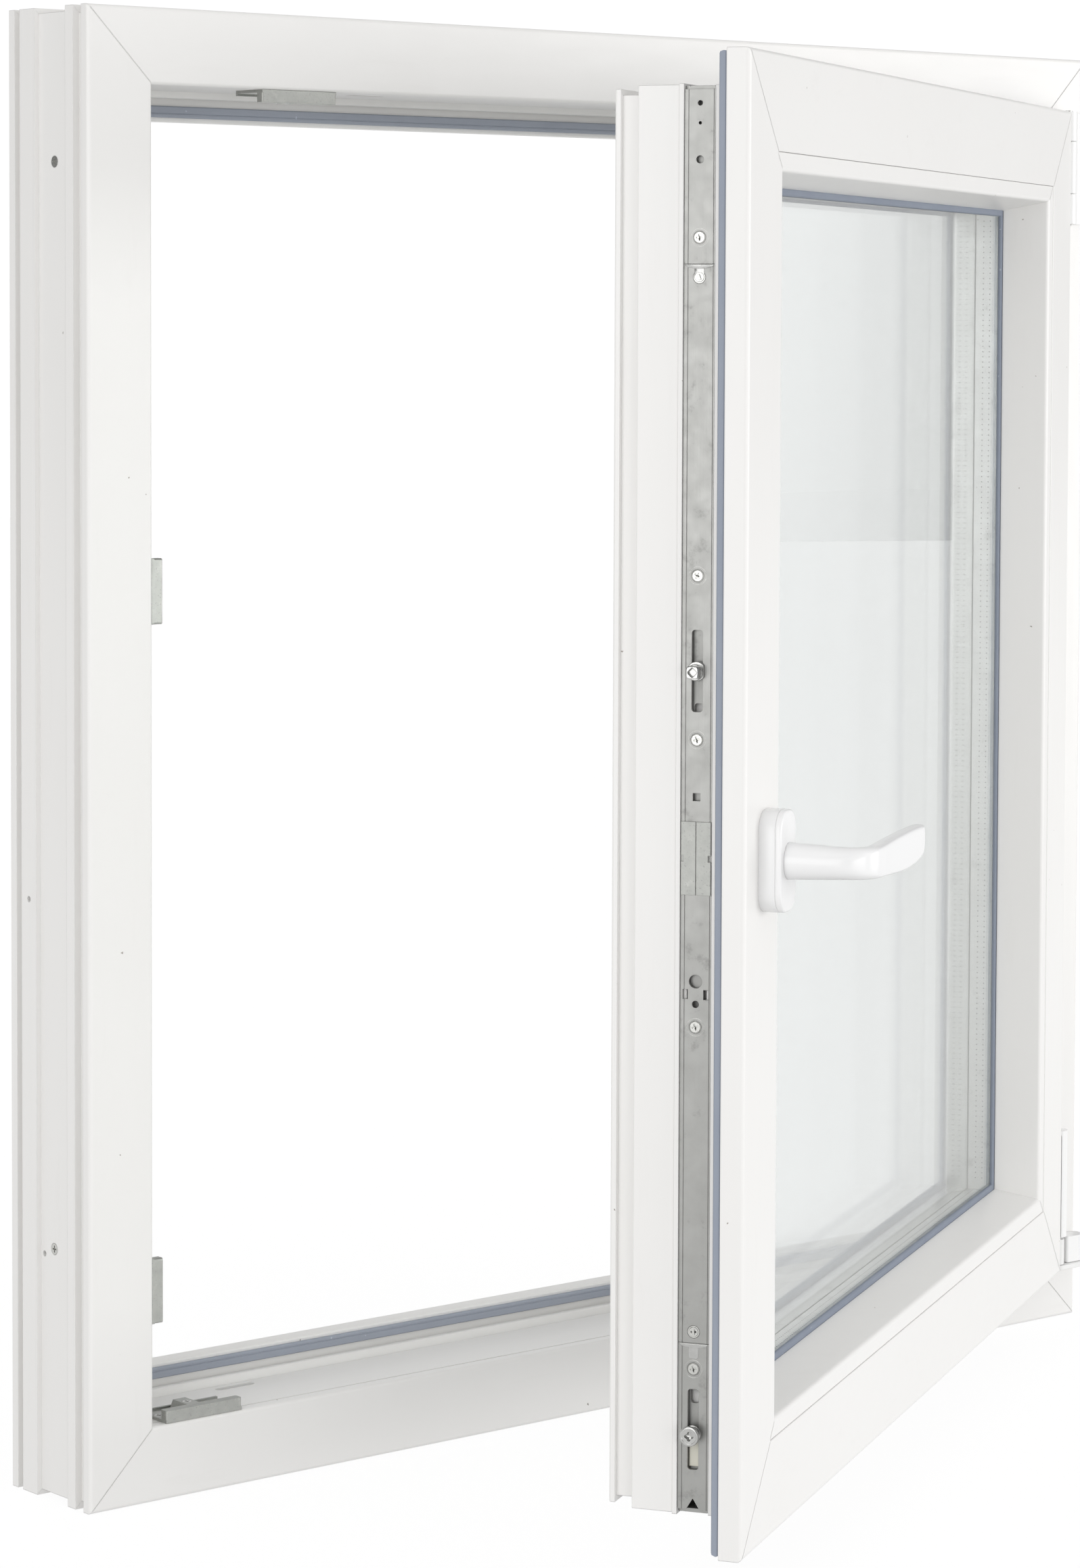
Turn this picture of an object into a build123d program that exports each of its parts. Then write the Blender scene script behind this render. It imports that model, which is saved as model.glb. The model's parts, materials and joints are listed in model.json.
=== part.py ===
from build123d import *
import math
import os

os.makedirs("parts", exist_ok=True)

# A tilt-and-turn casement window, seen from the room. Millimetres, +Z up, +X towards the hinges,
# +Y outdoors. The origin is the middle of the sill's bottom edge, in the frame's room face.
# A section is drawn as (across, depth): across runs from a bar's outer edge to the glass, depth along +Y.

# Overall sizes
frame_width = 940.0
frame_height = 1000.0
frame_depth = 96.0
open_angle = 30.8

# Outer frame section
frame_face = 51.0
upstand_height = 20.0
upstand_depth = 17.0
frame_wall = 3.0
perimeter_nose = 8.0
clip_groove_width = 9.5
clip_groove_depth = 5.0
anchor_recess_from = 27.0
anchor_recess_to = 64.0
anchor_recess_depth = 3.5

# Sash section
overlap = 9.0
hardware_gap = 12.0
sash_front = -18.0
flange_thickness = 15.2
sash_back = 75.0
sash_face = 59.0
sash_wall = 3.2
lip_height = 19.5
lip_thickness = 5.0
nose_setback = 2.0
nose_thickness = 4.0
channel_width = 11.5
channel_depth = 5.5
plate_groove_centre = 20.0
plate_width = 19.6
plate_thickness = 2.4
plate_recess = 0.4
rolled_line = 0.4
room_line_inset = 0.8
outer_line_inset = 2.8
rod_width = 11.0
rod_thickness = 3.0

# Glass unit
pane_thickness = 4.0
cavity = 17.5
glass_front = 20.0
block_height = 6.0
spacer_height = 7.0
spacer_inset = 5.0

# Fits and clearances
slip = 0.2
running = 0.05
steel_gap = 0.5
seal_gap = 0.8
weld_line_width = 0.7
weld_line_depth = 0.3

# Hardware
stroke = 18.0
cam_length = 8.9
cam_radius = 6.2
shank_radius = 3.0
slot_width = 7.0
slot_length = 50.0
slot_corner = 2.0
striker_height = 8.5
striker_base = 2.0
handle_backset = 42.5
handle_height = 466.0
spindle_size = 7.0
pinion_teeth = 15
rack_teeth = 12
hinge_offset = 9.0
hinge_depth = -13.0
hinge_pin_radius = 3.0
knuckle_radius = 6.0
cover_radius = 7.2
tilt_axis_height = 50.0
stay_reach = 290.0
stay_depth = 20.0

# Sizes worked out from the ones above
sash_low = frame_face - overlap
sash_width = frame_width - 2 * sash_low
sash_height = frame_height - 2 * sash_low
sash_top = sash_low + sash_height
sash_middle = sash_low + sash_height / 2
sash_edge_x = sash_width / 2
core = overlap + hardware_gap
core_low = sash_low + core
core_top = sash_top - core
glass_floor = sash_face + 1.0
lip_top = glass_floor + lip_height
glass_edge = glass_floor + block_height
unit_depth = 3 * pane_thickness + 2 * cavity
lip_face = sash_back - lip_thickness
flange_back = sash_front + flange_thickness
plate_top = core + plate_recess
plate_back = plate_top + plate_thickness
rod_top = plate_back + 1.2
rod_back = rod_top + rod_thickness
upstand_face = frame_depth - upstand_depth
opening_edge = frame_face + upstand_height
hinge_x = sash_edge_x + hinge_offset
hinge_axis = Axis((hinge_x, hinge_depth, 0), (0, 0, 1))
pinion_radius = stroke / (math.pi / 2)
rack_line = handle_backset - pinion_radius

made = {}


def save(name, shape, opens=False):
    """Keep one piece under its node name; pieces on the sash side are turned to the open pose."""
    made[name] = shape.rotate(hinge_axis, open_angle) if opens else shape


def outline(points, rounds=()):
    face = make_face(Polyline(*points, close=True))
    for x, y, radius in rounds:
        corner = min(face.vertices(), key=lambda v: (v.X - x) ** 2 + (v.Y - y) ** 2)
        face = fillet(corner, radius)
    return face


def area(x0, x1, y0, y1):
    return Pos((x0 + x1) / 2, (y0 + y1) / 2) * Rectangle(x1 - x0, y1 - y0)


def block(x0, x1, y0, y1, z0, z1):
    return Pos((x0 + x1) / 2, (y0 + y1) / 2, (z0 + z1) / 2) * Box(x1 - x0, y1 - y0, z1 - z0)


def rod_along(axis, radius, length, at=(0, 0, 0)):
    """Cylinder centred on a point, with its length along x, y or z."""
    turn = {"x": Rot(0, 90, 0), "y": Rot(90, 0, 0), "z": Rot(0, 0, 0)}[axis]
    return Pos(*at) * turn * Cylinder(radius, length)


def bars(section, width, height, low, weld_faces=()):
    """The four mitred bars of one section round a rectangle that stands on z = low, keyed by side.

    A fine cleaned weld line is cut along the mitre on each face whose depth is given."""
    reach = 140.0

    def bar(length):
        half = length / 2
        trapezoid = Polyline((0, -half), (reach, reach - half), (reach, half - reach), (0, half), close=True)
        run = extrude(section, half, both=True) & extrude(Plane.XZ * make_face(trapezoid), 300, both=True)
        for depth in weld_faces:
            for end in (-1, 1):
                run -= Pos(reach / 2, depth, end * (half - reach / 2)) * Rot(0, end * 45, 0) * Box(
                    1.5 * reach, 2 * weld_line_depth, weld_line_width)
        return run

    upright, level = bar(height), bar(width)
    return {side: on_side(upright if side in ("lock", "hinge") else level, side, width, height, low)
            for side in ("lock", "hinge", "bottom", "top")}


def on_side(shape, side, width, height, low):
    """Put a shape drawn as (across, depth, along) on one side of a width x height rectangle.

    Along runs up on the lock and hinge sides, and towards the lock side on the bottom and top."""
    if side in ("lock", "hinge"):
        placed = Pos(-width / 2, 0, low + height / 2) * shape
        return placed if side == "lock" else mirror(placed, Plane.YZ)
    placed = Pos(0, 0, low) * Rot(0, -90, 0) * shape
    return placed if side == "bottom" else mirror(placed, Plane.XY.offset(low + height / 2))


def loop(section, width, height, low):
    """One continuous loop of a section, such as a gasket."""
    sides = bars(section, width, height, low)
    return sides["lock"] + sides["hinge"] + sides["bottom"] + sides["top"]


def on_frame(shape, side):
    return on_side(shape, side, frame_width, frame_height, 0)


def on_sash(shape, side):
    return on_side(shape, side, sash_width, sash_height, sash_low)


def along_lock(z):
    """Place along the lock side for a height above the sill's bottom."""
    return z - frame_height / 2


def pan_screw(head_radius, head_height, radius, length):
    """Countersunk screw pointing along +x, with its head's flat at x = 0 and a cross recess."""
    cone = make_face(Polyline((0, 0), (0, head_radius), (0.5, head_radius), (head_height, radius),
                              (length - 3, radius), (length, 0), close=True))
    body = revolve(cone, Axis.X)
    recess_depth = head_height * 0.6
    cross = block(0, recess_depth, -0.5, 0.5, -head_radius * 0.6, head_radius * 0.6)
    cross += block(0, recess_depth, -head_radius * 0.6, head_radius * 0.6, -0.5, 0.5)
    return body - cross


def screw_hole(head_radius, head_height, radius, length):
    """The room that a countersunk screw takes, grown by the slip clearance."""
    cone = make_face(Polyline((-8, 0), (-8, head_radius + slip), (0.5, head_radius + slip),
                              (head_height, radius + slip), (length + 1, radius + slip), (length + 1, 0),
                              close=True))
    return revolve(cone, Axis.X)


def group(shapes):
    return Compound(children=list(shapes)) if len(shapes) > 1 else shapes[0]


# Outer frame: four welded bars with a rebate, hollow chambers and steel inside
floor_bump = 4.5
bump_from = upstand_face - 9.0
front_groove = 9.0
seal_root = 2.2
seal_low = frame_face + 9.5
seal_high = opening_edge - 2.5
frame_seal_thickness = upstand_face - sash_back - seal_gap

frame_section = outline([
    (0, 0), (0, perimeter_nose), (clip_groove_depth, perimeter_nose),
    (clip_groove_depth, perimeter_nose + clip_groove_width), (0, perimeter_nose + clip_groove_width),
    (0, anchor_recess_from), (anchor_recess_depth, anchor_recess_from),
    (anchor_recess_depth, anchor_recess_to), (0, anchor_recess_to),
    (0, frame_depth - perimeter_nose - 6), (clip_groove_depth, frame_depth - perimeter_nose - 6),
    (clip_groove_depth, frame_depth - perimeter_nose), (0, frame_depth - perimeter_nose),
    (0, frame_depth), (opening_edge, frame_depth), (opening_edge, upstand_face),
    (seal_high - 2, upstand_face), (seal_high - 2, upstand_face + seal_root),
    (seal_low + 2, upstand_face + seal_root), (seal_low + 2, upstand_face),
    (frame_face, upstand_face), (frame_face + floor_bump, upstand_face - 3),
    (frame_face + floor_bump, bump_from + 2), (frame_face - 3, bump_from - 1), (frame_face - 3, bump_from - 5),
    (frame_face, bump_from - 5), (frame_face, front_groove + 1.2), (frame_face - 1.2, front_groove + 1.2),
    (frame_face - 1.2, front_groove), (frame_face, front_groove), (frame_face, 0),
], [(0, 0, 2.5), (frame_face, 0, 2.5), (opening_edge, frame_depth, 3), (opening_edge, upstand_face, 1.5),
    (0, frame_depth, 1.5), (frame_face + floor_bump, bump_from + 2, 2), (frame_face + floor_bump, upstand_face - 3, 1.5)])

front_chamber_back = perimeter_nose + clip_groove_width - 1
steel_from = front_chamber_back + frame_wall
steel_to = anchor_recess_to - frame_wall
outer_from = steel_to + frame_wall
frame_section -= area(clip_groove_depth + frame_wall, frame_face - frame_wall, frame_wall, front_chamber_back)
frame_section -= area(anchor_recess_depth + frame_wall, frame_face - frame_wall, steel_from, steel_to)
frame_section -= area(clip_groove_depth + frame_wall, frame_face - 2 * frame_wall, outer_from, upstand_face - 1)
frame_section -= area(clip_groove_depth + frame_wall, opening_edge - frame_wall,
                      upstand_face + seal_root + frame_wall - 1, frame_depth - frame_wall)

frame_bars = bars(frame_section, frame_width, frame_height, 0, (0, frame_depth))

steel_wall = 2.0
frame_tube = area(anchor_recess_depth + frame_wall + steel_gap, frame_face - frame_wall - steel_gap,
                  steel_from + steel_gap, steel_to - steel_gap)
frame_tube -= area(anchor_recess_depth + frame_wall + steel_gap + steel_wall,
                   frame_face - frame_wall - steel_gap - steel_wall,
                   steel_from + steel_gap + steel_wall, steel_to - steel_gap - steel_wall)
steel_setback = 55.0
frame_steel = [on_frame(extrude(frame_tube, (span - 2 * steel_setback) / 2, both=True), side)
               for side, span in (("lock", frame_height), ("hinge", frame_height),
                                  ("bottom", frame_width), ("top", frame_width))]

seal_section = outline([
    (seal_low, upstand_face), (seal_low, upstand_face - frame_seal_thickness),
    (seal_high, upstand_face - frame_seal_thickness), (seal_high, upstand_face),
    (seal_high - 2 - slip, upstand_face), (seal_high - 2 - slip, upstand_face + seal_root - slip),
    (seal_low + 2 + slip, upstand_face + seal_root - slip), (seal_low + 2 + slip, upstand_face),
], [(seal_low, upstand_face - frame_seal_thickness, 1.2), (seal_high, upstand_face - frame_seal_thickness, 1.2)])
save("frame_gasket", loop(seal_section, frame_width, frame_height, 0))

# Drainage slot in the sill's floor, beside the tilt striker, and a vent slot in the head
drain_centre = -frame_width / 2 + 158.0
drain_length = 32.0
drain_width = 6.0
drain_depth = 57.0
vent_centre = -frame_width / 2 + 247.0
drain = Pos(drain_centre, drain_depth, frame_face - frame_wall / 2) * extrude(
    SlotOverall(drain_length, drain_width), 4, both=True)
vent = Pos(vent_centre, drain_depth - 30, frame_height - frame_face + frame_wall / 2) * extrude(
    SlotOverall(drain_length, drain_width), 4, both=True)
frame_bars["bottom"] -= drain
frame_bars["top"] -= vent


# Strikers on the rebate floor, which the cams slide behind
striker_front = 1.5
striker_rib = 7.0
striker_bump = 17.0
striker_back = plate_groove_centre + cam_radius + 6.0
striker_screw = dict(head_radius=3.4, head_height=2.0, radius=1.9, length=16.0)
cam_high_z = 582.0
cam_low_z = 113.0
side_striker_length = 44.0
striker_screw_depth = 17.8
wide_striker_length = 62.0
cam_top_x = -340.0
tilt_cam_x = -339.0
pocket_wall = 2.3
pocket_length = 21.5


def striker(length, bump_at, pocket=False):
    """Striker drawn as (across, depth, along) with its base on the frame's floor and a bump behind its rib.

    A pocket thins the rib where the mushroom cam runs, so that the cam keeps clear when the sash leans."""
    f = frame_face
    rib_back = striker_front + striker_rib
    body = block(f, f + striker_base, striker_front, striker_back, -length / 2, length / 2)
    rib = block(f, f + striker_height, striker_front, rib_back, -length / 2, length / 2)
    rib = fillet(rib.edges().filter_by(Axis.X), 1.4)
    if pocket:
        rib -= block(f + striker_base, f + striker_height, striker_front + pocket_wall, rib_back,
                     -length / 2, pocket_length - length / 2)
    body += rib
    half = striker_bump / 2
    bump = make_face(Polyline((f, bump_at - half), (f + striker_height - 0.5, bump_at - half + 3.5),
                              (f + striker_height - 0.5, bump_at + half - 3.5), (f, bump_at + half), close=True))
    body += Pos(0, (rib_back + striker_back - 5) / 2, 0) * extrude(
        Plane.XZ * bump, (striker_back - 5 - rib_back) / 2 + 0.2, both=True)
    body += block(f, f + striker_base + 1.5, striker_back - 2, striker_back, -length / 2, length / 2)
    return body


def striker_screws(length, bump_at):
    """Screw places: one through the bump, one through the base at the end away from the cam."""
    end = math.copysign(length / 2 - 5, bump_at)
    return [(frame_face + striker_height - 0.5, striker_screw_depth, bump_at),
            (frame_face + striker_base, striker_screw_depth, end)]


def screw_into_floor(make, at):
    """Turn a screw that points along +x so that it points into the frame's floor."""
    return Pos(*at) * Rot(0, 0, 180) * make(**striker_screw)


strikers = []
screws = []
places = [("lock", cam_high_z + stroke + 13.0, side_striker_length, 6.0, False),
          ("lock", cam_low_z + stroke + 11.5, side_striker_length, 6.5, True),
          ("top", -(cam_top_x + stroke + wide_striker_length / 2 - cam_radius - 0.4), wide_striker_length, -5.0, False),
          ("bottom", -(tilt_cam_x - wide_striker_length / 2 - cam_radius - 0.4), wide_striker_length, 3.0, False)]
for side, centre, length, bump_at, pocket in places:
    along = along_lock(centre) if side == "lock" else centre
    body = striker(length, bump_at, pocket)
    for x, y, z in striker_screws(length, bump_at):
        hole = on_frame(Pos(0, 0, along) * screw_into_floor(screw_hole, (x, y, z)), side)
        frame_bars[side] -= hole
        screws.append(on_frame(Pos(0, 0, along) * screw_into_floor(pan_screw, (x, y, z)), side))
        body -= screw_into_floor(screw_hole, (x, y, z))
    strikers.append(on_frame(Pos(0, 0, along) * body, side))
save("lock_strikers", group(strikers[:2]))
save("head_striker", strikers[2])
save("tilt_striker", strikers[3])

# Screws that hold the jamb's steel, and two small drilled holes in the lock jamb's perimeter
jamb_screw = dict(head_radius=3.8, head_height=2.4, radius=2.0, length=14.0)
jamb_screw_spots = [(45.0, 898.0), (48.0, 170.0)]
vent_hole_spots = [(60.0, 165.0), (73.0, 404.0)]
vent_hole_radius = 2.0
jamb_screws = []
for depth, z in jamb_screw_spots:
    spot = Pos(-frame_width / 2 + anchor_recess_depth, depth, z)
    jamb_screws.append(spot * pan_screw(**jamb_screw))
    frame_bars["lock"] -= spot * screw_hole(**jamb_screw)
    frame_steel[0] -= spot * screw_hole(**jamb_screw)
for depth, z in vent_hole_spots:
    frame_bars["lock"] -= rod_along("x", vent_hole_radius, 2 * (anchor_recess_depth + frame_wall) + 1,
                                    (-frame_width / 2, depth, z))
save("frame_screws", group(screws + jamb_screws))
save("frame_steels", group(frame_steel))


# Sash: four welded bars that overlap the frame on the room side
bead_groove_from = 0.0
bead_groove_to = 5.0
bead_groove_depth = 5.0
plate_groove_from = plate_groove_centre - plate_width / 2 - slip
plate_groove_to = plate_groove_centre + plate_width / 2 + slip
rod_channel = rod_width / 2 + 0.8
rod_floor = rod_back + 1.2
guard_height = 0.8
guard_width = 3.0
flange_seal_from = 3.5
flange_seal_to = 7.0
flange_seal_root = 2.8
channel_from = sash_back - nose_thickness - channel_width
channel_floor = core + channel_depth

sash_section = outline([
    (0, sash_front), (glass_floor, sash_front), (glass_floor, bead_groove_from),
    (glass_floor - bead_groove_depth, bead_groove_from), (glass_floor - bead_groove_depth, bead_groove_to),
    (glass_floor, bead_groove_to), (glass_floor, lip_face), (lip_top, lip_face), (lip_top, sash_back),
    (core + nose_setback, sash_back), (core + nose_setback, sash_back - nose_thickness),
    (channel_floor, sash_back - nose_thickness), (channel_floor, channel_from), (core, channel_from),
    (core, plate_groove_to + guard_width), (core - guard_height, plate_groove_to + guard_width),
    (core - guard_height, plate_groove_to), (plate_back, plate_groove_to),
    (plate_back, plate_groove_centre + rod_channel), (rod_floor, plate_groove_centre + rod_channel),
    (rod_floor, plate_groove_centre - rod_channel), (plate_back, plate_groove_centre - rod_channel),
    (plate_back, plate_groove_from), (core, plate_groove_from), (core, flange_back),
    (flange_seal_to, flange_back), (flange_seal_to, flange_back - flange_seal_root),
    (flange_seal_from, flange_back - flange_seal_root), (flange_seal_from, flange_back), (0, flange_back),
], [(0, sash_front, 3), (glass_floor, sash_front, 0.8), (lip_top, sash_back, 2), (lip_top, lip_face, 1),
    (core + nose_setback, sash_back, 1.5), (0, flange_back, 1), (core, channel_from, 0.8)])

chamber_top = glass_floor - sash_wall
flange_chamber_back = flange_back - flange_seal_root - sash_wall
sash_section -= area(sash_wall, chamber_top, sash_front + sash_wall, flange_chamber_back)
sash_section -= area(core + sash_wall, glass_floor - bead_groove_depth - sash_wall,
                     flange_chamber_back + sash_wall, plate_groove_from - sash_wall)
sash_section -= area(rod_floor + sash_wall, chamber_top, plate_groove_from, plate_groove_to)
sash_section -= area(core + sash_wall, chamber_top, plate_groove_to + sash_wall, channel_from - sash_wall)
sash_section -= area(channel_floor + sash_wall, chamber_top, channel_from, sash_back - sash_wall)
sash_bars = bars(sash_section, sash_width, sash_height, sash_low, (sash_front, sash_back))

sash_tube = area(core + sash_wall + steel_gap, chamber_top - steel_gap,
                 plate_groove_to + sash_wall + steel_gap, channel_from - sash_wall - steel_gap)
sash_tube -= area(core + sash_wall + steel_gap + steel_wall, chamber_top - steel_gap - steel_wall,
                  plate_groove_to + sash_wall + steel_gap + steel_wall,
                  channel_from - sash_wall - steel_gap - steel_wall)
sash_steel_setback = chamber_top + 8.0
sash_steel = [on_sash(extrude(sash_tube, (span - 2 * sash_steel_setback) / 2, both=True), side)
              for side, span in (("lock", sash_height), ("hinge", sash_height),
                                 ("bottom", sash_width), ("top", sash_width))]
save("sash_steels", group(sash_steel), opens=True)

# Room-side gasket in the flange's back; it stops short of the frame's face when the sash is shut
flange_seal_thickness = -flange_back - seal_gap
sash_seal = outline([
    (flange_seal_from - 1.5, flange_back), (flange_seal_from - 1.5, flange_back + flange_seal_thickness),
    (flange_seal_to + 1.5, flange_back + flange_seal_thickness), (flange_seal_to + 1.5, flange_back),
    (flange_seal_to - slip, flange_back), (flange_seal_to - slip, flange_back - flange_seal_root + slip),
    (flange_seal_from + slip, flange_back - flange_seal_root + slip), (flange_seal_from + slip, flange_back),
], [(flange_seal_from - 1.5, flange_back + flange_seal_thickness, 0.8),
    (flange_seal_to + 1.5, flange_back + flange_seal_thickness, 0.8)])
sash_gasket = loop(sash_seal, sash_width, sash_height, sash_low)


# Glazing: beads, gaskets, three panes, spacer frames, edge seal and setting blocks
bead_front = sash_front + 0.6
bead_back = glass_front - 3.0
bead_edge = glass_floor + 11.8
bead_top = lip_top - 0.5
bead_wall = 2.2
bead_section = outline([
    (glass_floor + slip, bead_front), (bead_edge, bead_front), (bead_top, bead_back),
    (glass_floor + slip, bead_back), (glass_floor + slip, bead_groove_to - slip),
    (glass_floor - bead_groove_depth + slip, bead_groove_to - slip),
    (glass_floor - bead_groove_depth + slip, bead_groove_from + slip),
    (glass_floor + slip, bead_groove_from + slip),
], [(bead_edge, bead_front, 3.5), (glass_floor + slip, bead_front, 0.6)])
bead_section -= outline([
    (glass_floor + slip + bead_wall, bead_front + bead_wall), (bead_edge - bead_wall, bead_front + bead_wall),
    (bead_top - bead_wall - 0.4, bead_back - bead_wall), (glass_floor + slip + bead_wall, bead_back - bead_wall),
])
bead_bars = bars(bead_section, sash_width, sash_height, sash_low, (bead_front,))
for side, name in (("lock", "bead_lock_side"), ("hinge", "bead_hinge_side"),
                   ("bottom", "bead_bottom"), ("top", "bead_top")):
    save(name, bead_bars[side], opens=True)

gasket_low = glass_edge + 6.0
inner_gasket_top = lip_top + 2.0
glass_back = glass_front + unit_depth
inner_seal = area(gasket_low, inner_gasket_top, bead_back + slip, glass_front - slip)
outer_seal = area(gasket_low, lip_top + 1.5, glass_back + slip, lip_face - slip)
save("inner_glazing_gasket", loop(inner_seal, sash_width, sash_height, sash_low), opens=True)
save("outer_glazing_gasket", loop(outer_seal, sash_width, sash_height, sash_low), opens=True)

pane_width = sash_width - 2 * glass_edge
pane_height = sash_height - 2 * glass_edge
pane_step = pane_thickness + cavity
spacers = []
edge_seals = []
for index, name in enumerate(("inner_pane", "middle_pane", "outer_pane")):
    front = glass_front + index * pane_step
    save(name, Pos(0, front + pane_thickness / 2, sash_middle) * Box(pane_width, pane_thickness, pane_height),
         opens=True)
    if index < 2:
        gap_front, gap_back = front + pane_thickness, front + pane_step
        tube = area(glass_edge + spacer_inset, glass_edge + spacer_inset + spacer_height, gap_front, gap_back)
        tube -= area(glass_edge + spacer_inset + 0.8, glass_edge + spacer_inset + spacer_height - 0.8,
                     gap_front + 0.8, gap_back - 0.8)
        spacers.append(loop(tube, sash_width, sash_height, sash_low))
        edge_seals.append(loop(area(glass_edge, glass_edge + spacer_inset, gap_front, gap_back),
                               sash_width, sash_height, sash_low))
save("spacer_frames", group(spacers), opens=True)
save("edge_seals", group(edge_seals), opens=True)

block_length = 80.0
setting_block = block(glass_floor + 0.1, glass_edge - 0.1, glass_front + 1, glass_back - 1,
                      -block_length / 2, block_length / 2)
blocks = [on_sash(Pos(0, 0, along) * setting_block, side) for side, along in (
    ("bottom", pane_width / 2 - 110), ("bottom", 110 - pane_width / 2),
    ("lock", pane_height / 2 - 110), ("hinge", 110 - pane_height / 2))]
save("setting_blocks", group(blocks), opens=True)


# Faceplates in the sash's hardware groove
plate_screw = dict(head_radius=3.8, head_height=2.2, radius=2.0, length=26.0)
joint_high = 829.0
joint_low = 169.0
plate_gap = 0.2
corner_clear = 2.6
plate_screw_heights = [845.0, 821.0, 640.0, 540.0, 364.0, 176.0, 153.0]
slot_low_centre = 115.5
guide_from = hinge_x - stay_reach - 34.0
guide_to = sash_edge_x - core - 12.0
rail_plate_from = -(sash_edge_x - plate_back) + slip
rail_plate_to = -252.0
rail_screw_x = -270.0
guide_screw_xs = [guide_from + 10, guide_to - 34]


def faceplate(low, high, centre):
    """Strip of faceplate drawn as (across, depth, along), with a rolled line near each long edge."""
    room_edge = plate_groove_centre - plate_width / 2
    outer_edge = plate_groove_centre + plate_width / 2
    strip = block(plate_top, plate_back, room_edge, outer_edge, low - centre, high - centre)
    for line in (room_edge + room_line_inset, outer_edge - outer_line_inset):
        strip -= block(plate_top - 1, plate_top + rolled_line, line, line + rolled_line, low - centre - 1,
                       high - centre + 1)
    return strip


def plate_slot(at, length, width):
    """Slot with rounded corners through a faceplate, along the groove."""
    slot = extrude(Plane.YZ * RectangleRounded(width, length, slot_corner), 4, both=True)
    return Pos(plate_top, plate_groove_centre, at) * slot


def plate_hole(at, radius, shift=0.0):
    return rod_along("x", radius, 12, (plate_top, plate_groove_centre + shift, at))


def in_groove(make, at):
    return Pos(plate_top, plate_groove_centre, at) * make(**plate_screw)


mid = sash_middle
upper = faceplate(joint_high + plate_gap / 2, core_top - corner_clear, mid)
upper -= plate_hole(926 - mid, 1.6) + plate_hole(914 - mid, 1.0) + plate_hole(892 - mid, 2.4)
gear = faceplate(joint_low + plate_gap / 2, joint_high - plate_gap / 2, mid)
gear -= plate_slot(cam_high_z - mid, slot_length, slot_width)
gear -= plate_hole(392 - mid, 4.2) + plate_hole(378 - mid, 2.2)
gear -= block(0, 40, plate_groove_centre - 2.4, plate_groove_centre + 2.4, 502.6 - mid, 507.4 - mid)
for edge in (-1, 1):
    gear -= block(0, 40, plate_groove_centre + edge * 6.6 - 1.6, plate_groove_centre + edge * 6.6 + 1.6,
                  381.0 - mid, 387.0 - mid)
lower = faceplate(core_low + corner_clear, joint_low - plate_gap / 2, mid)
lower -= plate_slot(slot_low_centre - mid, slot_length, slot_width)
notch = Polyline((plate_groove_centre - 5, -1), (plate_groove_centre, 7), (plate_groove_centre + 5, -1), close=True)
lower -= Pos(0, 0, core_low + corner_clear - mid) * extrude(Plane.YZ * make_face(notch), 40)

plates = {"faceplate_upper": (upper, joint_high, core_top), "faceplate_gear": (gear, joint_low, joint_high),
          "faceplate_corner": (lower, core_low, joint_low)}
plate_screws = []
for name, (plate, low, high) in plates.items():
    for z in plate_screw_heights:
        if low < z < high:
            plate -= in_groove(screw_hole, z - mid)
            plate_screws.append(on_sash(in_groove(pan_screw, z - mid), "lock"))
            sash_bars["lock"] -= on_sash(in_groove(screw_hole, z - mid), "lock")
    save(name, on_sash(plate, "lock"), opens=True)

guide_slot_x = hinge_x - stay_reach + 3.0
guide_slot_width = 2 * 3.5 + 1.2
guide = faceplate(-guide_to, -guide_from, 0) - plate_slot(-guide_slot_x, 36.0, guide_slot_width)
rail_plates = []
rail_parts = [("top", guide, guide_screw_xs)]
for side, cam_x in (("top", cam_top_x), ("bottom", tilt_cam_x)):
    strip = faceplate(-rail_plate_to, -rail_plate_from, 0)
    strip -= plate_slot(-cam_x, slot_length, slot_width)
    rail_parts.append((side, strip, [rail_screw_x]))
for side, plate, xs in rail_parts:
    for x in xs:
        plate -= in_groove(screw_hole, -x)
        plate_screws.append(on_sash(in_groove(pan_screw, -x), side))
        sash_bars[side] -= on_sash(in_groove(screw_hole, -x), side)
    rail_plates.append(on_sash(plate, side))
save("stay_guide", rail_plates[0], opens=True)
save("rail_plates", group(rail_plates[1:]), opens=True)
save("plate_screws", group(plate_screws), opens=True)


# Drive: gearbox and pinion in the lock stile, rods behind the faceplates, cams through the slots
module = 2 * pinion_radius / pinion_teeth
addendum = 0.85 * module
dedendum = 1.15 * module
backlash = 0.35
pressure = math.radians(20)
gear_width = 9.0
hub_radius = 6.0
case_half = 27.0
case_from = rod_floor + sash_wall + 0.2
case_to = chamber_top - 0.3
case_front = plate_groove_from + 1.5
case_back = plate_groove_to - 1.5
gear_room = pinion_radius + addendum + 0.6


def involute(angle):
    return math.tan(angle) - angle


def pinion_face():
    """Gear outline with a tooth towards -x; flanks are involutes of the base circle."""
    base = pinion_radius * math.cos(pressure)
    root = pinion_radius - dedendum
    tip = pinion_radius + addendum
    half = (math.pi * module / 2 - backlash) / 2 / pinion_radius + involute(pressure)
    radii = [base + (tip - base) * step / 3 for step in range(4)]
    flank = [(root, half)] + [(radius, half - involute(math.acos(base / radius))) for radius in radii]
    points = []
    for tooth in range(pinion_teeth):
        centre = math.pi + 2 * math.pi * tooth / pinion_teeth
        sides = [(radius, centre - angle) for radius, angle in flank]
        sides += [(radius, centre + angle) for radius, angle in reversed(flank)]
        points += [(radius * math.cos(angle), radius * math.sin(angle)) for radius, angle in sides]
    return make_face(Polyline(*points, close=True))


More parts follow.
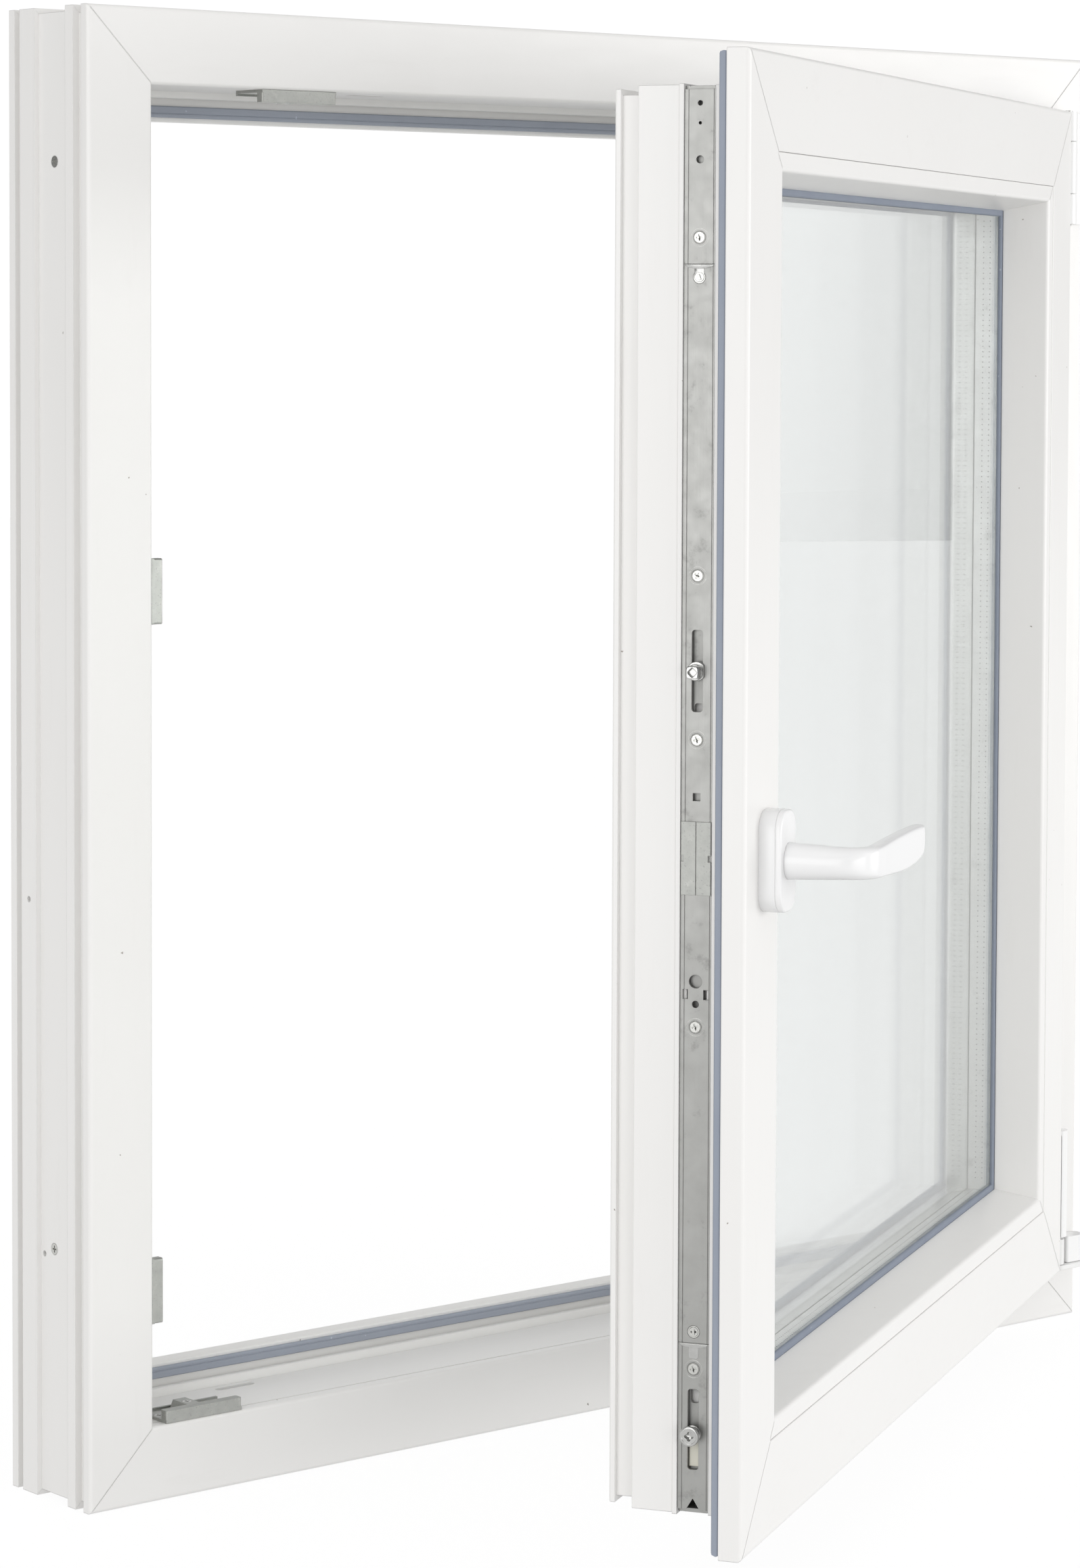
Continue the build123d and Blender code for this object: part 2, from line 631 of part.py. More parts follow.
def rack(teeth):
    """Rack drawn as (across, depth, along) with a space at along = 0."""
    pitch = math.pi * module
    slope = math.tan(pressure)
    low = (pitch / 2 - backlash) / 2 + dedendum * slope
    high = (pitch / 2 - backlash) / 2 - addendum * slope
    points = [(rod_back - 0.5, -teeth * pitch / 2)]
    for tooth in range(teeth):
        centre = (tooth - teeth / 2 + 0.5) * pitch
        points += [(rack_line - dedendum, centre - low), (rack_line + addendum, centre - high),
                   (rack_line + addendum, centre + high), (rack_line - dedendum, centre + low)]
    points.append((rod_back - 0.5, teeth * pitch / 2))
    width = rod_width / 2
    return Pos(0, plate_groove_centre, 0) * extrude(Plane.XZ * make_face(Polyline(*points, close=True)),
                                                    width - 1, both=True)


handle_along = handle_height - mid
axis_spot = (handle_backset, plate_groove_centre, handle_along)
to_axis = Pos(*axis_spot)
front_depth = plate_groove_centre - sash_front

pinion = extrude(Plane.XZ * pinion_face(), gear_width / 2, both=True)
pinion += rod_along("y", hub_radius, case_back - case_front - 0.6)
spindle_hole = spindle_size + 2 * slip
pinion -= Box(spindle_hole, 40, spindle_hole)
save("drive_pinion", on_sash(to_axis * pinion, "lock"), opens=True)

gearbox = block(case_from, case_to, case_front, case_back, handle_along - case_half, handle_along + case_half)
gearbox -= rod_along("y", gear_room, gear_width + 0.8, axis_spot)
gearbox -= rod_along("y", hub_radius + running, 60, axis_spot)
handle_screw = dict(head_radius=4.2, head_height=2.6, radius=2.4, length=44.0)
handle_screw_pitch = 43.0
base_front = sash_front - 10.5
handle_screws = []
screw_spots = [Pos(handle_backset, base_front + 1.5, handle_along + sign * handle_screw_pitch / 2) * Rot(0, 0, 90)
               for sign in (-1, 1)]
for spot in screw_spots:
    gearbox -= spot * screw_hole(**handle_screw)
    sash_bars["lock"] -= on_sash(spot * screw_hole(**handle_screw), "lock")
    handle_screws.append(on_sash(spot * pan_screw(**handle_screw), "lock"))
save("gearbox", on_sash(gearbox, "lock"), opens=True)
save("handle_screws", group(handle_screws), opens=True)
sash_bars["lock"] -= on_sash(rod_along("y", hub_radius + 1, 2 * front_depth, axis_spot)
                             & block(0, 100, sash_front - 1, case_front, -999, 999), "lock")
sash_bars["lock"] -= on_sash(block(rod_floor - 1, case_from + 1, case_front - 0.5, case_back + 0.5,
                                   handle_along - case_half - 0.5, handle_along + case_half + 0.5), "lock")

rack_half = rack_teeth * math.pi * module / 2
sash_bars["lock"] -= on_sash(block(rod_floor - 1, rod_floor + sash_wall + 1, plate_groove_centre - rod_channel,
                                   plate_groove_centre + rod_channel, handle_along - rack_half - stroke - 1,
                                   handle_along + rack_half + stroke + 1), "lock")

bridge_half = block(plate_top - 1.0, plate_top, plate_groove_centre + 0.15,
                    plate_groove_centre + plate_width / 2 - 0.3, 445.0 - mid, 490.0 - mid)
bridge_half -= block(0, 40, plate_groove_centre + plate_width / 2 - 2.0, plate_groove_centre + 20,
                     465.5 - mid, 469.5 - mid)
bridge = [bridge_half, Pos(0, 2 * plate_groove_centre, 0) * mirror(bridge_half, Plane.XZ)]
save("bridge_blocks", group([on_sash(piece, "lock") for piece in bridge]), opens=True)

rod_low = core_low + 22.0
rod_high = core_top - 32.0


def rod(low, high):
    return block(rod_top, rod_back, plate_groove_centre - rod_width / 2, plate_groove_centre + rod_width / 2,
                 low, high)


drive_rod = rod(rod_low - mid, rod_high - mid)
for z in plate_screw_heights:
    drive_rod -= Pos(rod_top - plate_top, 0, 0) * plate_slot(z - mid, 2 * stroke + 8.0, 5.4)
drive_rod += Pos(0, 0, handle_along) * rack(rack_teeth)
save("drive_rod", on_sash(drive_rod, "lock"), opens=True)

top_rod = rod(-(cam_top_x + 40), -(cam_top_x - 46))
tilt_rod = rod(-(tilt_cam_x + 38), -(tilt_cam_x - 20))
save("top_rod", on_sash(top_rod, "top"), opens=True)
save("tilt_rod", on_sash(tilt_rod, "bottom"), opens=True)


def cam(along, mushroom):
    """Cam drawn as (across, depth, along): a shank riveted to the rod and a head proud of the faceplate."""
    tip = plate_top - cam_length
    shank = rod_along("x", shank_radius, rod_top - tip - 0.5, ((rod_top + tip + 0.5) / 2, plate_groove_centre, along))
    if mushroom:
        head = rod_along("x", cam_radius, 2.6, (tip + 1.3, plate_groove_centre, along))
        return shank + head + rod_along("x", 4.3, 5.6, (tip + 3.2, plate_groove_centre, along))
    base = rod_along("x", cam_radius, 2.4, (plate_top - 1.9, plate_groove_centre, along))
    pin = block(tip, plate_top - 1, plate_groove_centre - 3.9, plate_groove_centre + 3.9, along - 3.9, along + 3.9)
    socket = block(tip - 1, tip + 4, plate_groove_centre - 2, plate_groove_centre + 2, along - 2, along + 2)
    return shank + base + pin - socket


save("square_cam", on_sash(cam(cam_high_z - mid, False), "lock"), opens=True)
save("mushroom_cam", on_sash(cam(cam_low_z - mid, True), "lock"), opens=True)
save("top_cam", on_sash(cam(-cam_top_x, True), "top"), opens=True)
save("tilt_cam", on_sash(cam(-tilt_cam_x, True), "bottom"), opens=True)


# Handle, drawn about its own axis in the turn position, lever towards the hinges
rose_width = 33.0
rose_height = 63.0
rose_thickness = 14.5
rose_corner = 13.0
neck_radius = 10.0
neck_length = 50.0
grip_reach = 122.0
bend_radius = 17.0
collar_radius = 11.5
grip_thickness = 15.0


def at_handle(shape):
    """Move a shape drawn about the handle's axis, with depth 0 on the sash's face, to its place."""
    return Pos(-sash_edge_x + handle_backset, sash_front, handle_height) * shape


def rose(depth_from, depth_to, shrink):
    plan = Plane.XZ * RectangleRounded(rose_width - 2 * shrink, rose_height - 2 * shrink, rose_corner - shrink)
    return Pos(0, depth_from, 0) * extrude(plan, depth_from - depth_to)


base_thickness = sash_front - base_front
handle_base = rose(0, -base_thickness, 0) - rod_along("y", hub_radius + 1, 60)
for sign in (-1, 1):
    handle_base -= Pos(0, -base_thickness + 1.5, sign * handle_screw_pitch / 2) * Rot(0, 0, 90) * screw_hole(
        **handle_screw)
rose_cover = rose(-base_thickness - slip, -rose_thickness, 0.4)
rose_cover = fillet(rose_cover.faces().sort_by(Axis.Y)[0].edges(), 1.5)
rose_cover -= rod_along("y", collar_radius + 0.3, 60)
save("handle_base", at_handle(handle_base), opens=True)
save("handle_rose_cover", at_handle(rose_cover), opens=True)

collar_from = base_thickness + slip
neck_end = rose_thickness + neck_length
neck = rod_along("y", collar_radius, rose_thickness - collar_from + 1,
                 (0, -(rose_thickness + collar_from + 1) / 2, 0))
neck += rod_along("y", neck_radius, neck_end - bend_radius - rose_thickness,
                  (0, -(rose_thickness + neck_end - bend_radius) / 2, 0))
bend = FilletPolyline((0, -(neck_end - bend_radius - 0.01)), (0, -neck_end), (bend_radius + 0.01, -neck_end),
                      radius=bend_radius)
elbow = sweep(Plane(origin=(0, -(neck_end - bend_radius - 0.01), 0), z_dir=(0, -1, 0)) * Circle(neck_radius),
              path=bend)
grip_plane = Plane(origin=(bend_radius, -neck_end, 0), z_dir=(1, 0, 0))
end_plane = Plane(origin=(grip_reach, -neck_end, 0), z_dir=(1, 0, 0))
grip = loft([grip_plane * Circle(neck_radius),
             Plane(origin=(bend_radius + 22, -neck_end, 0), z_dir=(1, 0, 0)) * Ellipse(grip_thickness / 2, 11.5),
             end_plane * Ellipse(grip_thickness / 2, 12.5)])
lever = neck + elbow + grip
lever -= block(-spindle_size / 2 - slip, spindle_size / 2 + slip, -neck_end + bend_radius + 14, 0,
               -spindle_size / 2 - slip, spindle_size / 2 + slip)
save("handle_lever", at_handle(lever), opens=True)
spindle_end = plate_groove_centre - sash_front + 6.5
spindle_start = -neck_end + bend_radius + 14.5
save("handle_spindle", at_handle(block(-spindle_size / 2, spindle_size / 2, spindle_start, spindle_end,
                                       -spindle_size / 2, spindle_size / 2)), opens=True)


# Hinge side, bottom: pivot bearing on the frame, socket on its pin, corner hinge on the sash
bearing_low = sash_low + 1.0
shelf_top = bearing_low + 3.5
socket_low = shelf_top + 0.3
socket_top = sash_low + 25.0
plate_right = frame_width / 2 - 4.0
pivot_pin_top = socket_top - 5.0
socket_radius = 5.5
trunnion_radius = 2.0
strap_gap = 0.3
strap_thickness = 2.5
pivot_cover_top = sash_low + 112.0
barrel_low = socket_top + 2.0


def hinge_post(radius, low, high):
    return rod_along("z", radius, high - low, (hinge_x, hinge_depth, (low + high) / 2))


pivot_bearing = hinge_post(7.0, bearing_low, shelf_top)
pivot_bearing += block(hinge_x, plate_right, hinge_depth - 7, 0, bearing_low, shelf_top)
pivot_bearing += block(hinge_x + 8, plate_right, -3.5, 0, bearing_low, socket_top)
pivot_bearing += hinge_post(hinge_pin_radius, shelf_top - 1, pivot_pin_top)
save("pivot_bearing", pivot_bearing)

bearing_cover = block(hinge_x + 8.5, plate_right + 1, hinge_depth - 3, -3.7, shelf_top + 0.3, socket_top + 0.5)
bearing_cover = fillet(bearing_cover.edges().filter_by(Axis.Z), 2)
save("pivot_bearing_cover", bearing_cover)

socket = hinge_post(socket_radius, socket_low, socket_top) - hinge_post(
    hinge_pin_radius + running, socket_low - 1, pivot_pin_top + 1)
strap_outer = sash_edge_x + strap_gap + strap_thickness
socket += rod_along("x", trunnion_radius, hinge_x - 4 - sash_edge_x - 0.5,
                    ((hinge_x - 4 + sash_edge_x + 0.5) / 2, hinge_depth, tilt_axis_height))
socket -= hinge_post(hinge_pin_radius + running, socket_low - 1, pivot_pin_top + 1)
save("pivot_socket", socket, opens=True)

corner_hinge = block(sash_edge_x + strap_gap, strap_outer, hinge_depth - 4, hinge_depth + 4,
                     tilt_axis_height - 2.4, pivot_cover_top - 4)
corner_hinge -= rod_along("x", trunnion_radius + running, 40, (sash_edge_x, hinge_depth, tilt_axis_height))
corner_hinge += block(strap_outer - 0.5, hinge_x, hinge_depth - 2.5, hinge_depth + 2.5, barrel_low, pivot_cover_top - 4)
corner_hinge += hinge_post(4.5, barrel_low, pivot_cover_top - 4)
lug_radius = 2.4
lug_length = 18.0
lug_heights = [tilt_axis_height + 30.0, tilt_axis_height + 78.0]
for z in lug_heights:
    lug = rod_along("x", lug_radius, lug_length + strap_gap + 1,
                    (sash_edge_x + (strap_gap + 1 - lug_length) / 2, hinge_depth + 1.2, z))
    corner_hinge += lug
    sash_bars["hinge"] -= rod_along("x", lug_radius + slip, 2 * lug_length + 2, (sash_edge_x, hinge_depth + 1.2, z))
save("corner_hinge", corner_hinge, opens=True)
hinge_cover = hinge_post(cover_radius, barrel_low, pivot_cover_top) - hinge_post(4.7, barrel_low - 1, pivot_cover_top - 3.8)
hinge_cover -= block(sash_edge_x - 5, hinge_x, hinge_depth - 4.2, hinge_depth + 4.2, 0, pivot_cover_top - 3.8)
save("corner_hinge_cover", hinge_cover, opens=True)


# Hinge side, top: bearing on the frame, stay arm between its knuckles, one pin through all
top_knuckle_top = sash_top
top_knuckle_low = top_knuckle_top - 23.0
stay_knuckle_top = top_knuckle_low - 0.8
stay_knuckle_low = stay_knuckle_top - 40.0
low_knuckle_top = stay_knuckle_low - 0.8
low_knuckle_low = low_knuckle_top - 23.0
leaf = 2.6
arm_thickness = 3.2
arm_low = core_top + 3.8
arm_high = arm_low + arm_thickness
arm_half = 7.0
leg_front = flange_back + 0.5
leg_back = leg_front + 1.5

top_bearing = block(hinge_x + 3, frame_width / 2 - 6, -leaf, 0, low_knuckle_low, top_knuckle_top)
for low, high in ((low_knuckle_low, low_knuckle_top), (top_knuckle_low, top_knuckle_top)):
    top_bearing += hinge_post(knuckle_radius, low, high)
    top_bearing += block(hinge_x, hinge_x + knuckle_radius - 0.8, hinge_depth, 0, low, high)
top_bearing -= hinge_post(hinge_pin_radius, low_knuckle_low - 1, top_knuckle_top + 1)
save("top_bearing", top_bearing)
save("top_hinge_pin", hinge_post(hinge_pin_radius, low_knuckle_low - 1.5, top_knuckle_top + 1.0))


def shell(low, high, outer):
    """Half-round cover clipped over a knuckle, open towards the frame and the leaf."""
    ring = hinge_post(outer, low, high) - hinge_post(knuckle_radius + 0.1, low - 1, high + 1)
    return ring - block(hinge_x - 20, hinge_x + 20, hinge_depth + 2.5, 20, low - 1, high + 1)


save("top_bearing_covers", group([shell(low_knuckle_low, low_knuckle_top, cover_radius),
                                  shell(top_knuckle_low, top_knuckle_top, cover_radius)]))

stay = hinge_post(knuckle_radius, stay_knuckle_low, stay_knuckle_top)
stay += block(hinge_x - 3, hinge_x + 3, hinge_depth, leg_back, stay_knuckle_low + 8, stay_knuckle_top)
web_x = sash_edge_x - core - 22
leg_left = sash_edge_x - core + 3.5
stay += block(leg_left, hinge_x + 3, leg_front, leg_back, stay_knuckle_low + 8, stay_knuckle_top)
stay += block(leg_left, hinge_x - 1.5, leg_front, leg_back, stay_knuckle_top - 1, arm_high)
stay += block(web_x, frame_width / 2 - frame_face - 2, leg_front, stay_depth + arm_half, arm_low, arm_high)
arm_end = hinge_x - stay_reach
stay += block(arm_end, web_x + 1, stay_depth - arm_half, stay_depth + arm_half, arm_low, arm_high)
stay += rod_along("z", arm_half, arm_thickness, (arm_end, stay_depth, arm_low + arm_thickness / 2))
stay -= hinge_post(hinge_pin_radius + running, stay_knuckle_low - 1, stay_knuckle_top + 1)
slider_radius = 3.5
stay -= rod_along("z", 2.0, 20, (arm_end, stay_depth, arm_low))
save("stay_arm", stay, opens=True)
slider_low = sash_top - rod_floor + 1.5
slider = rod_along("z", slider_radius, arm_low - slider_low, (arm_end, stay_depth, (arm_low + slider_low) / 2))
slider += rod_along("z", 6.0, 2.6, (arm_end, stay_depth, arm_low - 1.3))
slider += rod_along("z", 2.0, arm_thickness + 1, (arm_end, stay_depth, arm_low + arm_thickness / 2))
save("stay_slider", slider, opens=True)
save("stay_cover", shell(stay_knuckle_low, stay_knuckle_top, cover_radius), opens=True)

# The room-side gasket is notched where the stay arm's leg passes behind the flange
sash_gasket -= block(sash_edge_x - 15, sash_edge_x + 5, flange_back - 9, 9, stay_knuckle_low + 5, sash_top - 12)
save("sash_gasket", sash_gasket, opens=True)

for side, name in (("lock", "lock_jamb"), ("hinge", "hinge_jamb"), ("bottom", "sill"), ("top", "head")):
    save("frame_" + name, frame_bars[side])
for side, name in (("lock", "lock_stile"), ("hinge", "hinge_stile"), ("bottom", "bottom_rail"), ("top", "top_rail")):
    save("sash_" + name, sash_bars[side], opens=True)

for name, shape in sorted(made.items()):
    export_step(shape, "parts/" + name + ".step")
print(len(made), "nodes")
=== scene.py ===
import json
import math

import bmesh
import bpy
from mathutils import Matrix, Vector


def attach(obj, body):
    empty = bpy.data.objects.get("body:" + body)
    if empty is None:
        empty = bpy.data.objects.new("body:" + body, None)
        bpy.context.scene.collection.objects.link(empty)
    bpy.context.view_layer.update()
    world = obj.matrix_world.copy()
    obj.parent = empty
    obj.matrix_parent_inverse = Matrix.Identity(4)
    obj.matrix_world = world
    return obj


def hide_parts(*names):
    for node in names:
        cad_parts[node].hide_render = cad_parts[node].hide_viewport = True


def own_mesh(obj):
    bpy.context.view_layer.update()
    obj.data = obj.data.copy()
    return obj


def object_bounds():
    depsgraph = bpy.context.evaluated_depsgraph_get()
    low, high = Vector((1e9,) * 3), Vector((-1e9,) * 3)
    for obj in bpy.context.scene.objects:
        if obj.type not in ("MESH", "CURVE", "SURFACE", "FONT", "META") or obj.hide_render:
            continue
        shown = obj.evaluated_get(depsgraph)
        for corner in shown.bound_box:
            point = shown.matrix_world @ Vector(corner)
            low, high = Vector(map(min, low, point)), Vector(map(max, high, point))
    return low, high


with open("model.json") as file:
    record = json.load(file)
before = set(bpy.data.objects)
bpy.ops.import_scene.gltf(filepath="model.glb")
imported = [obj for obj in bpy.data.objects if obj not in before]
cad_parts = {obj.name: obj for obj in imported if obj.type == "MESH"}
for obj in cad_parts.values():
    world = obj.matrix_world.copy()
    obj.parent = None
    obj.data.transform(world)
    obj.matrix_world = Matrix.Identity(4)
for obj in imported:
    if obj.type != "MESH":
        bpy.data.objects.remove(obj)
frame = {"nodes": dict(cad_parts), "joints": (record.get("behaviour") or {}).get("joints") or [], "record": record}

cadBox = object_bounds()
nodes = frame["nodes"]
joints = {joint["name"]: joint for joint in frame["joints"]}
mm = 0.001

# The sash stands open about the hinge axis; pieces on it are drawn shut and then turned
hinge = Vector(joints["sash_turn"]["pos_m"])
openAngle = -math.radians(joints["sash_turn"]["range_deg"][0])
toOpen = Matrix.Translation(hinge) @ Matrix.Rotation(openAngle, 4, "Z") @ Matrix.Translation(-hinge)
toShut = toOpen.inverted()


def shutBox(name, opens=True):
    # lowest and highest corner of a node in millimetres, with the window shut; the frame's nodes don't open
    matrix = toShut if opens else Matrix()
    points = [matrix @ vertex.co / mm for vertex in nodes[name].data.vertices]
    low = Vector(min(p[i] for p in points) for i in range(3))
    high = Vector(max(p[i] for p in points) for i in range(3))
    return low, high


def shutMiddle(name):
    low, high = shutBox(name)
    return (low + high) / 2


def newGroup(name, inputs, outputs):
    group = bpy.data.node_groups.new(name, "ShaderNodeTree")
    for label, kind, value in inputs:
        socket = group.interface.new_socket(label, in_out="INPUT", socket_type=kind)
        socket.default_value = value
    for label, kind in outputs:
        group.interface.new_socket(label, in_out="OUTPUT", socket_type=kind)
    start = group.nodes.new("NodeGroupInput")
    end = group.nodes.new("NodeGroupOutput")
    return group, start, end


def addNode(tree, kind, **settings):
    node = tree.nodes.new(kind)
    for key, value in settings.items():
        setattr(node, key, value)
    return node


def objectPoint(tree, stretch=(1, 1, 1), turn=0.0):
    # object coordinates, turned about Z and stretched, so a pattern can run along a bar
    coordinate = addNode(tree, "ShaderNodeTexCoord")
    mapping = addNode(tree, "ShaderNodeMapping")
    mapping.inputs["Rotation"].default_value = (0, 0, turn)
    mapping.inputs["Scale"].default_value = stretch
    tree.links.new(coordinate.outputs["Object"], mapping.inputs["Vector"])
    return mapping.outputs["Vector"]


def makeMottleGroup():
    # slow cloudy variation of a surface: a mask for colour darkening
    group, start, end = newGroup("slowMottle", [
        ("Vector", "NodeSocketVector", (0, 0, 0)), ("Scale", "NodeSocketFloat", 4.0),
        ("Amount", "NodeSocketFloat", 0.1)], [("Mask", "NodeSocketFloat")])
    noise = addNode(group, "ShaderNodeTexNoise")
    noise.inputs["Detail"].default_value = 4.0
    noise.inputs["Roughness"].default_value = 0.55
    group.links.new(start.outputs["Vector"], noise.inputs["Vector"])
    group.links.new(start.outputs["Scale"], noise.inputs["Scale"])
    scaled = addNode(group, "ShaderNodeMath", operation="MULTIPLY")
    group.links.new(noise.outputs["Fac"], scaled.inputs[0])
    group.links.new(start.outputs["Amount"], scaled.inputs[1])
    group.links.new(scaled.outputs[0], end.inputs["Mask"])
    return group


def makeSpeckGroup():
    # sparse small specks, such as dirt on plastic or pits in a casting
    group, start, end = newGroup("sparseSpecks", [
        ("Vector", "NodeSocketVector", (0, 0, 0)), ("Scale", "NodeSocketFloat", 60.0),
        ("Size", "NodeSocketFloat", 0.12), ("Share", "NodeSocketFloat", 0.1)], [("Mask", "NodeSocketFloat")])
    cells = addNode(group, "ShaderNodeTexVoronoi")
    wobble = addNode(group, "ShaderNodeTexNoise")
    wobble.inputs["Scale"].default_value = 300.0
    group.links.new(start.outputs["Vector"], wobble.inputs["Vector"])
    shift = addNode(group, "ShaderNodeVectorMath", operation="MULTIPLY_ADD")
    shift.inputs[1].default_value = (0.004, 0.004, 0.004)
    group.links.new(wobble.outputs["Color"], shift.inputs[0])
    group.links.new(start.outputs["Vector"], shift.inputs[2])
    group.links.new(shift.outputs[0], cells.inputs["Vector"])
    group.links.new(start.outputs["Scale"], cells.inputs["Scale"])
    near = addNode(group, "ShaderNodeMath", operation="LESS_THAN")
    group.links.new(cells.outputs["Distance"], near.inputs[0])
    group.links.new(start.outputs["Size"], near.inputs[1])
    split = addNode(group, "ShaderNodeSeparateColor")
    group.links.new(cells.outputs["Color"], split.inputs[0])
    chosen = addNode(group, "ShaderNodeMath", operation="LESS_THAN")
    group.links.new(split.outputs[0], chosen.inputs[0])
    group.links.new(start.outputs["Share"], chosen.inputs[1])
    both = addNode(group, "ShaderNodeMath", operation="MULTIPLY")
    group.links.new(near.outputs[0], both.inputs[0])
    group.links.new(chosen.outputs[0], both.inputs[1])
    group.links.new(both.outputs[0], end.inputs["Mask"])
    return group


def makeEdgeGroup():
    # normal that rounds sharp edges a little, as tools and dies leave them
    group, start, end = newGroup("roundedEdge", [("Radius", "NodeSocketFloat", 0.0005)],
                                 [("Normal", "NodeSocketVector")])
    bevel = addNode(group, "ShaderNodeBevel", samples=4)
    group.links.new(start.outputs["Radius"], bevel.inputs["Radius"])
    group.links.new(bevel.outputs["Normal"], end.inputs["Normal"])
    return group


def makeWearGroup():
    # mask of thin smears that run along a bar, where something has rubbed
    group, start, end = newGroup("rubMarks", [
        ("Vector", "NodeSocketVector", (0, 0, 0)), ("Scale", "NodeSocketFloat", 8.0),
        ("Share", "NodeSocketFloat", 0.3)], [("Mask", "NodeSocketFloat")])
    noise = addNode(group, "ShaderNodeTexNoise")
    noise.inputs["Detail"].default_value = 6.0
    noise.inputs["Roughness"].default_value = 0.7
    group.links.new(start.outputs["Vector"], noise.inputs["Vector"])
    group.links.new(start.outputs["Scale"], noise.inputs["Scale"])
    cut = addNode(group, "ShaderNodeMapRange")
    cut.inputs["From Min"].default_value = 0.58
    cut.inputs["From Max"].default_value = 0.72
    group.links.new(noise.outputs["Fac"], cut.inputs["Value"])
    group.links.new(start.outputs["Share"], cut.inputs["To Max"])
    group.links.new(cut.outputs["Result"], end.inputs["Mask"])
    return group


mottleGroup = makeMottleGroup()
speckGroup = makeSpeckGroup()
edgeGroup = makeEdgeGroup()
wearGroup = makeWearGroup()


def useGroup(tree, group, vector, **values):
    node = addNode(tree, "ShaderNodeGroup", node_tree=group)
    tree.links.new(vector, node.inputs["Vector"])
    for key, value in values.items():
        node.inputs[key].default_value = value
    return node.outputs[0]


def newMaterial(name, roughness, metallic=0.0, **sockets):
    material = bpy.data.materials.new(name)
    material.use_nodes = True
    shader = material.node_tree.nodes["Principled BSDF"]
    shader.inputs["Roughness"].default_value = roughness
    shader.inputs["Metallic"].default_value = metallic
    for key, value in sockets.items():
        shader.inputs[key.replace("_", " ")].default_value = value
    return material, material.node_tree, shader


def mixColours(tree, factor, first, second):
    mix = addNode(tree, "ShaderNodeMix", data_type="RGBA")
    tree.links.new(factor, mix.inputs[0])
    for socket, value in ((mix.inputs[6], first), (mix.inputs[7], second)):
        if hasattr(value, "links"):
            tree.links.new(value, socket)
        else:
            socket.default_value = (*value, 1.0)
    return mix.outputs[2]


def addBump(tree, shader, height, strength, distance, edge=0.0):
    bump = addNode(tree, "ShaderNodeBump")
    if edge:
        rounded = addNode(tree, "ShaderNodeGroup", node_tree=edgeGroup)
        rounded.inputs["Radius"].default_value = edge
        tree.links.new(rounded.outputs["Normal"], bump.inputs["Normal"])
    bump.inputs["Strength"].default_value = strength
    bump.inputs["Distance"].default_value = distance
    tree.links.new(height, bump.inputs["Height"])
    tree.links.new(bump.outputs["Normal"], shader.inputs["Normal"])


def noiseHeight(tree, vector, scale, detail=2.0):
    noise = addNode(tree, "ShaderNodeTexNoise")
    noise.inputs["Scale"].default_value = scale
    noise.inputs["Detail"].default_value = detail
    tree.links.new(vector, noise.inputs["Vector"])
    return noise.outputs["Fac"]


plasticLook = {"white": (0.86, 0.852, 0.838), "shade": (0.80, 0.787, 0.765), "dirt": (0.36, 0.33, 0.30),
               "rub": (0.70, 0.68, 0.65), "roughness": 0.32, "speckShare": 0.5, "rubShare": 0.10,
               "edge": 0.0006}


def makePlastic(name, along, turn=0.0):
    # extruded white plastic: fine lines along the bar, slight clouding, faint rubs and a few dirt specks
    material, tree, shader = newMaterial(name, plasticLook["roughness"], Specular_IOR_Level=0.45)
    plain = objectPoint(tree)
    lines = objectPoint(tree, tuple(0.6 if axis == along else 60.0 for axis in "xyz"), turn)
    smears = objectPoint(tree, tuple(1.0 if axis == along else 9.0 for axis in "xyz"), turn)
    cloud = useGroup(tree, mottleGroup, plain, Scale=5.0, Amount=0.5)
    specks = useGroup(tree, speckGroup, plain, Scale=45.0, Size=0.03, Share=plasticLook["speckShare"])
    rubs = useGroup(tree, wearGroup, smears, Scale=7.0, Share=plasticLook["rubShare"])
    body = mixColours(tree, cloud, plasticLook["white"], plasticLook["shade"])
    rubbed = mixColours(tree, rubs, body, plasticLook["rub"])
    tree.links.new(mixColours(tree, specks, rubbed, plasticLook["dirt"]), shader.inputs["Base Color"])
    ramp = addNode(tree, "ShaderNodeMapRange")
    ramp.inputs["To Min"].default_value = plasticLook["roughness"] - 0.05
    ramp.inputs["To Max"].default_value = plasticLook["roughness"] + 0.10
    tree.links.new(noiseHeight(tree, smears, 20.0, 3.0), ramp.inputs["Value"])
    tree.links.new(ramp.outputs["Result"], shader.inputs["Roughness"])
    addBump(tree, shader, noiseHeight(tree, lines, 14.0), 0.05, 0.0003, plasticLook["edge"])
    return material


def makeGasket(name, colour, dust, roughness=0.62):
    # rubber: dusty, a little streaked, with a fine grain
    material, tree, shader = newMaterial(name, roughness, Specular_IOR_Level=0.35)
    plain = objectPoint(tree)
    cloud = useGroup(tree, mottleGroup, plain, Scale=30.0, Amount=0.7)
    specks = useGroup(tree, speckGroup, plain, Scale=160.0, Size=0.12, Share=0.08)
    body = mixColours(tree, cloud, colour, dust)
    paler = tuple(c * 1.25 for c in dust)
    tree.links.new(mixColours(tree, specks, body, paler), shader.inputs["Base Color"])
    addBump(tree, shader, noiseHeight(tree, plain, 900.0, 3.0), 0.2, 0.0002)
    return material


